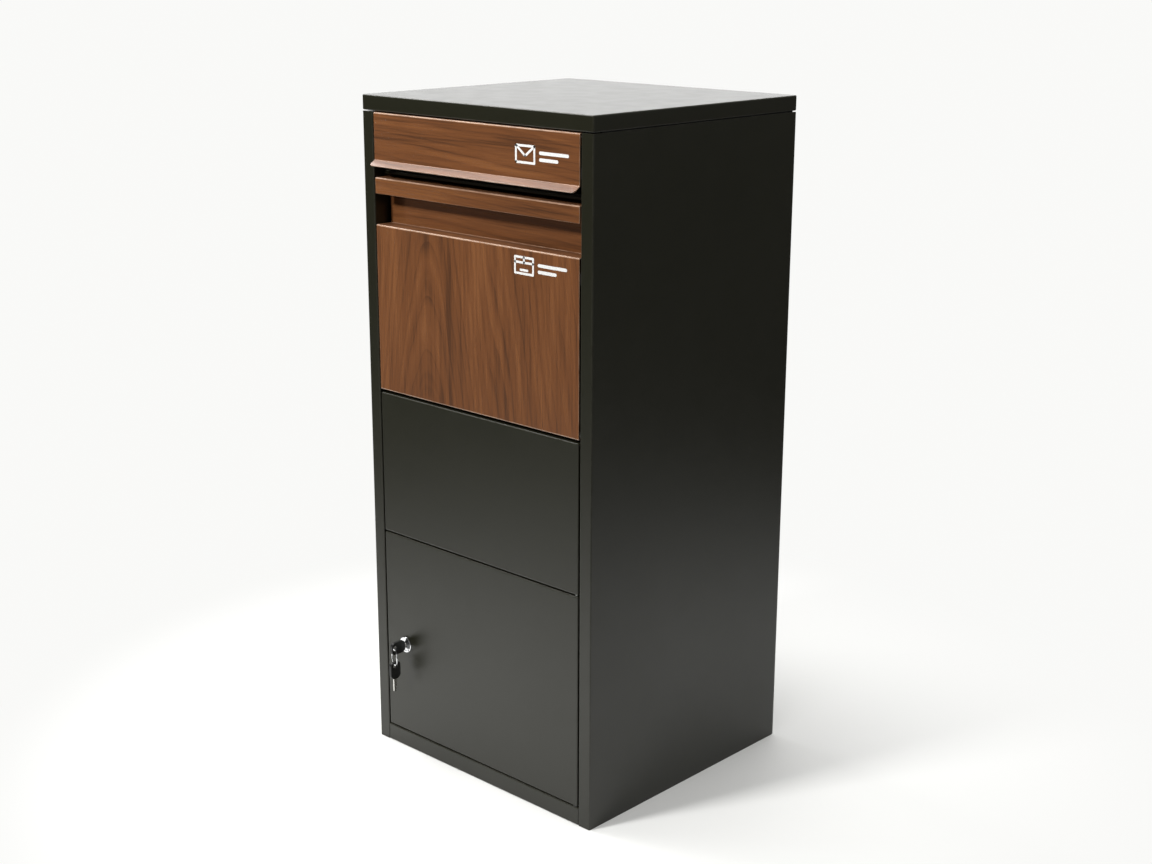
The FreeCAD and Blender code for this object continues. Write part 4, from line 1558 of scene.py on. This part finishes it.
@dataclass
class ParcelDoor:
    """The front of the parcel hopper: face, ledge, finger recess and hooked grip strip.

    Attributes:
        grip: Height of the grip strip.
        ledge_height: Height of the ledge above the door's lower edge.
        flange: Depth of the flange along the door's lower edge.
        gauge: The sheet's thickness and fold radius.
    """

    grip: float = 23 * MM
    ledge_height: float = 246 * MM
    flange: float = 12 * MM
    gauge: Gauge = field(default_factory=Gauge)

    def build(self) -> None:
        """Fold the door's front and dress it."""
        low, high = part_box("parcel_door_skin")
        thick = self.gauge.thickness
        ledge = low.z + self.ledge_height
        recess = high.y - thick
        hook = low.y + thick
        path = [(hook, high.z - self.grip), (hook, high.z - thick), (recess, high.z - thick),
                (recess, ledge), (low.y, ledge), (low.y, low.z), (low.y + self.flange, low.z)]
        obj = FoldedSheet("parcel_door_front", path, Plane.YZ, low.x, high.x, self.gauge).build()
        place_piece(obj, Body.HOPPER, FINISHES.door_wood, "wood_effect", "parcel_door_skin")


@dataclass
class RetrievalDoor:
    """The lockable door at the bottom of the cabinet.

    Attributes:
        gauge: The sheet's thickness and fold radius.
    """

    gauge: Gauge = field(default_factory=Gauge)

    def build(self) -> None:
        """Fold the door as a tray and dress it."""
        obj = FoldedTray("retrieval_door_leaf", *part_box("retrieval_door"), self.gauge).build()
        place_piece(obj, Body.DOOR, FINISHES.coat, "coat", "retrieval_door")


@dataclass
class CamLock:
    """The cam lock's fixed barrel, with its dished bezel and its threaded body.

    Attributes:
        bezel: Radius of the bezel.
        body: Radius of the threaded body.
        bore: Radius of the hole that the plug turns in.
        bezel_height: How far the bezel stands in front of the door.
        pitch: Pitch of the thread.
        thread: Depth of the thread.
    """

    bezel: float = 12.5 * MM
    body: float = 9.5 * MM
    bore: float = 6.55 * MM
    bezel_height: float = 3.5 * MM
    pitch: float = 1.0 * MM
    thread: float = 0.55 * MM

    def build(self) -> None:
        """Turn the barrel from a profile and dress it."""
        low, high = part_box("lock_barrel")
        foot = Vector(((low.x + high.x) / 2, low.y, (low.z + high.z) / 2))
        obj = TurnedPart("lock_barrel_turned", foot, Vector((0, 1, 0)), self.profile(high.y - low.y), 72,
                         closed=False).build()
        with editing(obj, Select.VERT):
            bpy.ops.mesh.select_all(action="SELECT")
            bpy.ops.mesh.remove_doubles(threshold=1e-6)
            bpy.ops.mesh.normals_make_consistent(inside=False)
        smooth(obj, 30)
        place_piece(obj, Body.DOOR, FINISHES.chrome, "chrome", "lock_barrel")

    def profile(self, long: float) -> list[Point]:
        """Return the barrel's rings, from the bore's mouth round the outside and back.

        Args:
            long: The barrel's whole length.

        Returns:
            Radius and distance along the axis of each ring.
        """
        face = [(self.bore, 1.3 * MM), (self.bore + 0.5 * MM, 0.9 * MM), (self.bezel - 3.6 * MM, 0.7 * MM),
                (self.bezel - 3.0 * MM, 0.1 * MM), (self.bezel - 2.6 * MM, 0.0)]
        corner = 1.4 * MM
        arc = [(self.bezel - corner + corner * math.sin(turn), corner - corner * math.cos(turn))
               for turn in (math.radians(15 * step) for step in range(1, 7))]
        collar = [(self.bezel, self.bezel_height), (self.body, self.bezel_height)]
        level = self.bezel_height + 2 * MM
        crests = []
        while level < long - self.pitch:
            crests += [(self.body, level), (self.body - self.thread, level + self.pitch / 2)]
            level += self.pitch
        rear = [(self.body, level), (self.body - 0.5 * MM, long), (self.bore, long), (self.bore, 1.3 * MM)]
        return face + arc + collar + crests + rear


@dataclass
class KeySet:
    """Two keys on a split ring: one in the lock, and one that hangs from the ring.

    Attributes:
        shoulder: Width of the bow where it meets the blade.
        eye: Radius of the hole for the ring.
        eye_height: Distance from the shoulder to the middle of the hole.
        border: Width of the raised border round the grip's panel.
        ring: Radius of the split ring, to the middle of its wire.
        wire: Half height of the ring's flattened wire.
        turn_width: Width of one turn of the wire.
        twist: How far the ring is turned about the vertical, in degrees.
    """

    shoulder: float = 8 * MM
    eye: float = 4 * MM
    eye_height: float = 20.8 * MM
    border: float = 1.7 * MM
    ring: float = 12 * MM
    wire: float = 1.05 * MM
    turn_width: float = 0.8 * MM
    twist: float = 22.0

    def build(self) -> None:
        """Build the spare key's bow, copy it for the key in the lock, and coil the ring."""
        low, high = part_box("spare_key_bow")
        hanging = self.bow(low, high)
        seated = copy_of(hanging, "seated_key_bow", Vector((0, 0, -low.z)) - self.middle(low, high))
        with editing(seated, Select.VERT):
            bpy.ops.mesh.select_all(action="SELECT")
            bpy.ops.transform.rotate(value=math.radians(90), orient_axis="X", center_override=(0, 0, 0))
        self.turn_check(seated)
        lock_low, lock_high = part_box("key_bow")
        centre = self.middle(lock_low, lock_high)
        seated.data.transform(Matrix.Translation((centre.x, lock_high.y, (lock_low.z + lock_high.z) / 2)))
        place_piece(hanging, Body.SPARE, FINISHES.black_plastic, "key_plastic", "spare_key_bow")
        place_piece(seated, Body.PLUG, FINISHES.black_plastic, "key_plastic", "key_bow")
        self.split_ring()

    def middle(self, low: Vector, high: Vector) -> Vector:
        """Return the level middle of a box, at height zero."""
        return Vector(((low.x + high.x) / 2, (low.y + high.y) / 2, 0))

    def turn_check(self, obj: bpy.types.Object) -> None:
        """Make sure that the seated bow points out of the lock, towards -Y.

        Args:
            obj: The seated key's bow, turned about the shoulder.
        """
        if sum(vert.co.y for vert in obj.data.vertices) > 0:
            with editing(obj, Select.VERT):
                bpy.ops.mesh.select_all(action="SELECT")
                bpy.ops.transform.rotate(value=math.radians(180), orient_axis="X", center_override=(0, 0, 0))

    def bow(self, low: Vector, high: Vector) -> bpy.types.Object:
        """Shape a hanging key's grip from a cube.

        Args:
            low: The lowest corner of its box.
            high: The highest corner of its box.

        Returns:
            The grip, with a sunk panel on both faces and an eye for the ring.
        """
        obj = block("hanging_key_bow", low, high)
        taper = (high.y - low.y - self.shoulder) / 2
        with editing(obj, Select.EDGE):
            pick_edges(obj, lambda a, b: abs(a.x - b.x) > 1e-4 and a.z < low.z + 1e-5)
            bpy.ops.mesh.bevel(offset=taper, segments=3, profile=0.35, affect="EDGES")
        with editing(obj, Select.EDGE):
            pick_edges(obj, lambda a, b: abs(a.x - b.x) > 1e-4 and a.z > high.z - 1e-5)
            bpy.ops.mesh.bevel(offset=5.5 * MM, segments=8, affect="EDGES")
        with editing(obj, Select.FACE):
            pick_faces(obj, lambda middle, normal: abs(normal.x) > 0.9)
            bpy.ops.mesh.inset(thickness=self.border, use_individual=True)
            bpy.ops.mesh.inset(thickness=0.5 * MM, depth=-0.55 * MM, use_individual=True)
        self.pierce(obj, low, high)
        round_rims(obj, 0.6 * MM, segments=4, angle=50)
        smooth(obj, 50)
        return obj

    def pierce(self, obj: bpy.types.Object, low: Vector, high: Vector) -> None:
        """Cut the eye for the ring through the grip.

        Args:
            obj: The grip.
            low: The lowest corner of its box.
            high: The highest corner of its box.
        """
        centre = self.middle(low, high) + Vector((0, 0, low.z + self.eye_height))
        bpy.ops.mesh.primitive_cylinder_add(vertices=40, radius=self.eye, depth=0.02, location=centre,
                                            rotation=(0, math.pi / 2, 0))
        drill = bpy.context.object
        finish_with(obj, "BOOLEAN", object=drill, operation="DIFFERENCE", solver="EXACT")
        bpy.data.objects.remove(drill)

    def split_ring(self) -> None:
        """Coil a flattened wire twice round and hang it where the CAD ring hangs."""
        low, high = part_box("key_ring")
        bpy.ops.mesh.primitive_circle_add(vertices=18, radius=self.wire, location=(self.ring, 0, 0),
                                          rotation=(math.pi / 2, 0, 0))
        obj = bpy.context.object
        obj.name = "split_ring"
        obj.scale = (1, self.turn_width / 2 / self.wire, 1)
        settle(obj)
        finish_with(obj, "SCREW", angle=2 * math.pi, iterations=2, steps=60, render_steps=60,
                    screw_offset=self.turn_width, use_normal_calculate=True)
        with editing(obj, Select.VERT):
            bpy.ops.mesh.select_all(action="SELECT")
            bpy.ops.mesh.remove_doubles(threshold=1e-6)
            bpy.ops.mesh.fill_holes(sides=0)
            bpy.ops.mesh.normals_make_consistent(inside=False)
        obj.data.transform(Matrix.Translation((0, 0, -self.turn_width)))
        turn = math.radians(self.twist)
        axis = Vector((-math.sin(turn), -math.cos(turn), 0))
        obj.rotation_mode = "QUATERNION"
        obj.rotation_quaternion = Vector((0, 0, 1)).rotation_difference(axis)
        obj.location = (low + high) / 2
        settle(obj)
        smooth(obj, 50)
        place_piece(obj, Body.RING, FINISHES.chrome, "chrome", "key_ring")


class Mark(Enum):
    """The pictograms printed on the two wood-effect fronts."""

    ENVELOPE = "envelope_mark"
    PARCEL = "parcel_mark"


@dataclass
class PrintedMark:
    """A line-drawn pictogram with two plain rules beside it, standing for the opening's use.

    Attributes:
        mark: Which pictogram it is.
        body: The body whose front it is printed on.
        left: The sideways place of its left edge.
        bottom: The height of its lower edge.
        high: Its height.
        wide: Its whole width, with the rules.
        icon: The width of the pictogram alone.
        stroke: The width of a drawn line.
        ink: The thickness of the ink.
    """

    mark: Mark
    body: Body
    left: float
    bottom: float
    high: float = 22 * MM
    wide: float = 94 * MM
    icon: float = 34 * MM
    stroke: float = 3.2 * MM
    ink: float = 0.12 * MM

    def build(self) -> None:
        """Draw the strokes as thin rounded bars and dress them."""
        lines = self.envelope() if self.mark is Mark.ENVELOPE else self.parcel()
        strokes = [self.bar(start, end, self.stroke) for start, end in lines]
        strokes += [self.bar(start, end, self.stroke * 1.4) for start, end in self.rules()]
        obj = self.fuse(strokes)
        obj.name = self.mark.value
        place_piece(obj, self.body, FINISHES.ink, "wood_effect")

    def fuse(self, strokes: Sequence[bpy.types.Object]) -> bpy.types.Object:
        """Fuse the strokes one by one into a single layer of ink.

        Args:
            strokes: The bars, which may overlap.

        Returns:
            The first bar, with the others joined to it.
        """
        whole = strokes[0]
        for stroke in strokes[1:]:
            finish_with(whole, "BOOLEAN", object=stroke, operation="UNION", solver="EXACT")
            bpy.data.objects.remove(stroke)
        return whole

    def frame(self) -> list[tuple[Point, Point]]:
        """Return the four sides of the pictogram's frame.

        Returns:
            The start and the end of each side.
        """
        a, b = (0.0, 0.0), (self.icon, 0.0)
        c, d = (self.icon, self.high), (0.0, self.high)
        return [(a, b), (b, c), (c, d), (d, a)]

    def envelope(self) -> list[tuple[Point, Point]]:
        """Return the strokes of a closed envelope."""
        point = (self.icon / 2, self.high * 0.40)
        return self.frame() + [((0.0, self.high), point), (point, (self.icon, self.high))]

    def parcel(self) -> list[tuple[Point, Point]]:
        """Return the strokes of a taped box with its lid edge.

        Returns:
            The start and the end of each stroke.
        """
        seam = self.high * 0.68
        half = self.icon / 2
        return self.frame() + [((0.0, seam), (self.icon, seam)), ((half, seam), (half, self.high)),
                               ((half * 0.62, self.high * 0.22), (half * 1.38, self.high * 0.22))]

    def rules(self) -> list[tuple[Point, Point]]:
        """Return the two plain rules beside the pictogram.

        Returns:
            The start and the end of each rule.
        """
        start = self.icon + 11 * MM
        return [((start, self.high * 0.66), (self.wide, self.high * 0.66)),
                ((start, self.high * 0.26), (self.wide * 0.80, self.high * 0.26))]

    def bar(self, start: Point, end: Point, width: float) -> bpy.types.Object:
        """Build one drawn line as a thin bar with round ends.

        Args:
            start: Where it starts, from the mark's lower left corner.
            end: Where it ends.
            width: How wide it is.

        Returns:
            The bar, lying on the front's face.
        """
        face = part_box("parcel_door_skin")[0].y
        run = Vector((end[0] - start[0], 0, end[1] - start[1]))
        half = run.length / 2 + width / 2
        obj = block("stroke", Vector((-half, -self.ink, -width / 2)), Vector((half, 0.02 * MM, width / 2)))
        with editing(obj, Select.EDGE):
            pick_edges(obj, lambda a, b: abs(a.y - b.y) > 1e-6)
            bpy.ops.mesh.bevel(offset=width * 0.49, segments=6, affect="EDGES")
        obj.rotation_euler = (0, -math.atan2(run.z, run.x), 0)
        obj.location = (self.left + (start[0] + end[0]) / 2, face, self.bottom + (start[1] + end[1]) / 2)
        return settle(obj)


@dataclass
class CadParts:
    """The CAD nodes that keep their own shape and only take a finish."""

    def plan(self) -> dict[Finish, tuple[str, ...]]:
        """Return which nodes take which finish.

        Returns:
            The nodes' names for each finish.
        """
        return {
            FINISHES.coat: ("back_panel",),
            FINISHES.inner_coat: ("base_panel", "panel_spacers", "top_front_rail", "letter_sill",
                                  "letter_chute", "anti_fishing_baffle", "left_side_liner",
                                  "right_side_liner", "stop_brackets", "hopper_stop_lugs", "lock_keeper",
                                  "left_hopper_cheek", "right_hopper_cheek", "hopper_plate",
                                  "hopper_stop_studs", "door_stiffener"),
            FINISHES.zinc: ("lid_screws", "letter_flap_pins", "hopper_hinge_pins", "door_hinge_pins",
                            "lock_nut", "lock_cam", "cam_screw"),
            FINISHES.chrome: ("lock_plug",),
            FINISHES.nickel: ("key_blade", "spare_key_blade"),
            FINISHES.rubber: ("lid_seal", "rubber_stops"),
            FINISHES.ribbed_rubber: ("compartment_mat",),
            FINISHES.nylon: ("hopper_bushes", "door_hinge_washer"),
        }

    def build(self) -> None:
        """Dress each node in its finish."""
        for finish, names in self.plan().items():
            for name in names:
                finish.dress(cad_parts[name])
            log.info("%s: %d CAD nodes", finish.name, len(names))


# ------------------------------------------------------------------ studio

@dataclass(frozen=True)
class Viewpoint:
    """Where the camera stands.

    Attributes:
        azimuth: Its turn about the vertical, in degrees; 0 looks along +Y.
        elevation: How far above level it stands, in degrees.
        roll: Its turn about its own axis, in degrees.
        distance: Its distance from the cabinet's middle.
        aside: How far it is moved to its own right and up, in metres.
        lens: Its focal length, in millimetres, on a sensor 36 mm wide.
    """

    azimuth: float = 43.135
    elevation: float = 15.849
    roll: float = 0.212
    distance: float = 2.5994
    aside: Point = (-0.0037, -0.0017)
    lens: float = 53.825

    def build(self) -> None:
        """Add the camera and make it the scene's."""
        turn, tilt, roll = (math.radians(angle) for angle in (self.azimuth, self.elevation, self.roll))
        back = Vector((math.sin(turn) * math.cos(tilt), -math.cos(turn) * math.cos(tilt), math.sin(tilt)))
        right = Vector((math.cos(turn), math.sin(turn), 0))
        up = back.cross(right)
        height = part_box("lid")[1].z
        place = Vector((0, 0, height / 2)) + back * self.distance
        place = place + right * self.aside[0] + up * self.aside[1]
        rolled_right = right * math.cos(roll) + up * math.sin(roll)
        rolled_up = up * math.cos(roll) - right * math.sin(roll)
        turned = Matrix((rolled_right, rolled_up, back)).transposed().to_4x4()
        data = bpy.data.cameras.new("camera")
        data.sensor_width = 36
        data.lens = self.lens
        data.clip_start = 0.05
        camera = bpy.data.objects.new("camera", data)
        bpy.context.scene.collection.objects.link(camera)
        camera.matrix_world = Matrix.Translation(place) @ turned
        bpy.context.scene.camera = camera
        log.info("camera at %.2f, %.2f, %.2f", *place)


@dataclass(frozen=True)
class Softbox:
    """A soft studio light.

    Attributes:
        name: The light's name.
        place: Where it stands.
        aim: The point that it faces.
        size: Its width and height.
        power: Its power, in watts.
        mirrored: Whether glossy surfaces reflect it.
        tint: Its colour.
    """

    name: str
    place: tuple[float, float, float]
    aim: tuple[float, float, float]
    size: Point
    power: float
    mirrored: bool = True
    tint: Colour = (1.0, 1.0, 1.0)

    def build(self) -> None:
        """Add the light, facing its aim and unseen by the camera."""
        data = bpy.data.lights.new(self.name, "AREA")
        data.shape = "RECTANGLE"
        data.size, data.size_y = self.size
        data.energy = self.power
        data.color = self.tint
        light = bpy.data.objects.new(self.name, data)
        bpy.context.scene.collection.objects.link(light)
        light.location = self.place
        facing = Vector(self.aim) - Vector(self.place)
        light.rotation_euler = facing.to_track_quat("-Z", "Y").to_euler()
        light.visible_camera = False
        light.visible_glossy = self.mirrored


@dataclass
class Studio:
    """The floor, the backdrop, the lights and the camera.

    Attributes:
        floor: Width of the square floor.
        sky: Brightness of the surroundings.
        lights: The soft lights.
    """

    floor: float = 30.0
    sky: float = 0.13
    lights: tuple[Softbox, ...] = (
        Softbox("upper_left", (-1.6, -0.35, 2.75), (0.0, -0.1, 0.6), (1.5, 1.5), 62.0),
        Softbox("overhead", (0.7, -0.4, 2.9), (0.3, 0.0, 0.0), (1.8, 1.8), 40.0, mirrored=False),
        Softbox("front", (-0.7, -2.45, 2.45), (0.0, -0.2, 0.7), (0.45, 0.35), 80.0, mirrored=False),
        Softbox("rear", (-1.9, 2.75, 1.95), (0.0, 0.0, 0.9), (4.6, 2.5), 80.0),
        Softbox("left", (-2.4, -2.0, 0.5), (0.0, 0.0, 0.2), (0.2, 0.2), 17.0, mirrored=False),
        Softbox("right", (2.4, 0.6, 1.9), (0.5, 0.0, 0.0), (1.6, 1.6), 12.0),
    )

    def build(self) -> None:
        """Build everything that surrounds the drop box."""
        self.stage()
        self.surroundings()
        for light in self.lights:
            light.build()
        Viewpoint().build()

    def stage(self) -> None:
        """Lay the floor under the cabinet's base."""
        bpy.ops.mesh.primitive_plane_add(size=self.floor, location=(0, 0, -0.0002))
        floor = bpy.context.object
        floor.name = "studio_floor"
        settle(floor)
        FINISHES.floor.dress(floor)

    def surroundings(self) -> None:
        """Fill the surroundings with an even pale light."""
        world = bpy.data.worlds.new("studio")
        bpy.context.scene.world = world
        world.use_nodes = True
        nodes = Nodes(world.node_tree)
        sky = world.node_tree.nodes["Background"]
        seen = nodes.add("LightPath").outputs["Is Camera Ray"]
        dim = tuple(value * self.sky for value in FINISHES.floor.far)
        nodes.feed(sky, "Color", nodes.mix(seen, dim, FINISHES.floor.far))
        bpy.context.scene.view_settings.view_transform = "Standard"


@dataclass
class DropBox:
    """The whole object, built sub-assembly by sub-assembly."""

    def build(self) -> None:
        """Build every sub-assembly in order."""
        Cabinet().build()
        LetterFlap().build()
        ParcelDoor().build()
        RetrievalDoor().build()
        CamLock().build()
        KeySet().build()
        PrintedMark(Mark.ENVELOPE, Body.FLAP, left=0.0860, bottom=0.9305).build()
        PrintedMark(Mark.PARCEL, Body.HOPPER, left=0.0830, bottom=0.7820).build()
        CadParts().build()


def main() -> None:
    """Build the drop box and its studio."""
    logging.basicConfig(level=logging.INFO, format="%(name)s: %(message)s")
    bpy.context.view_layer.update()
    DropBox().build()
    Studio().build()


if __name__ == "__main__":
    main()
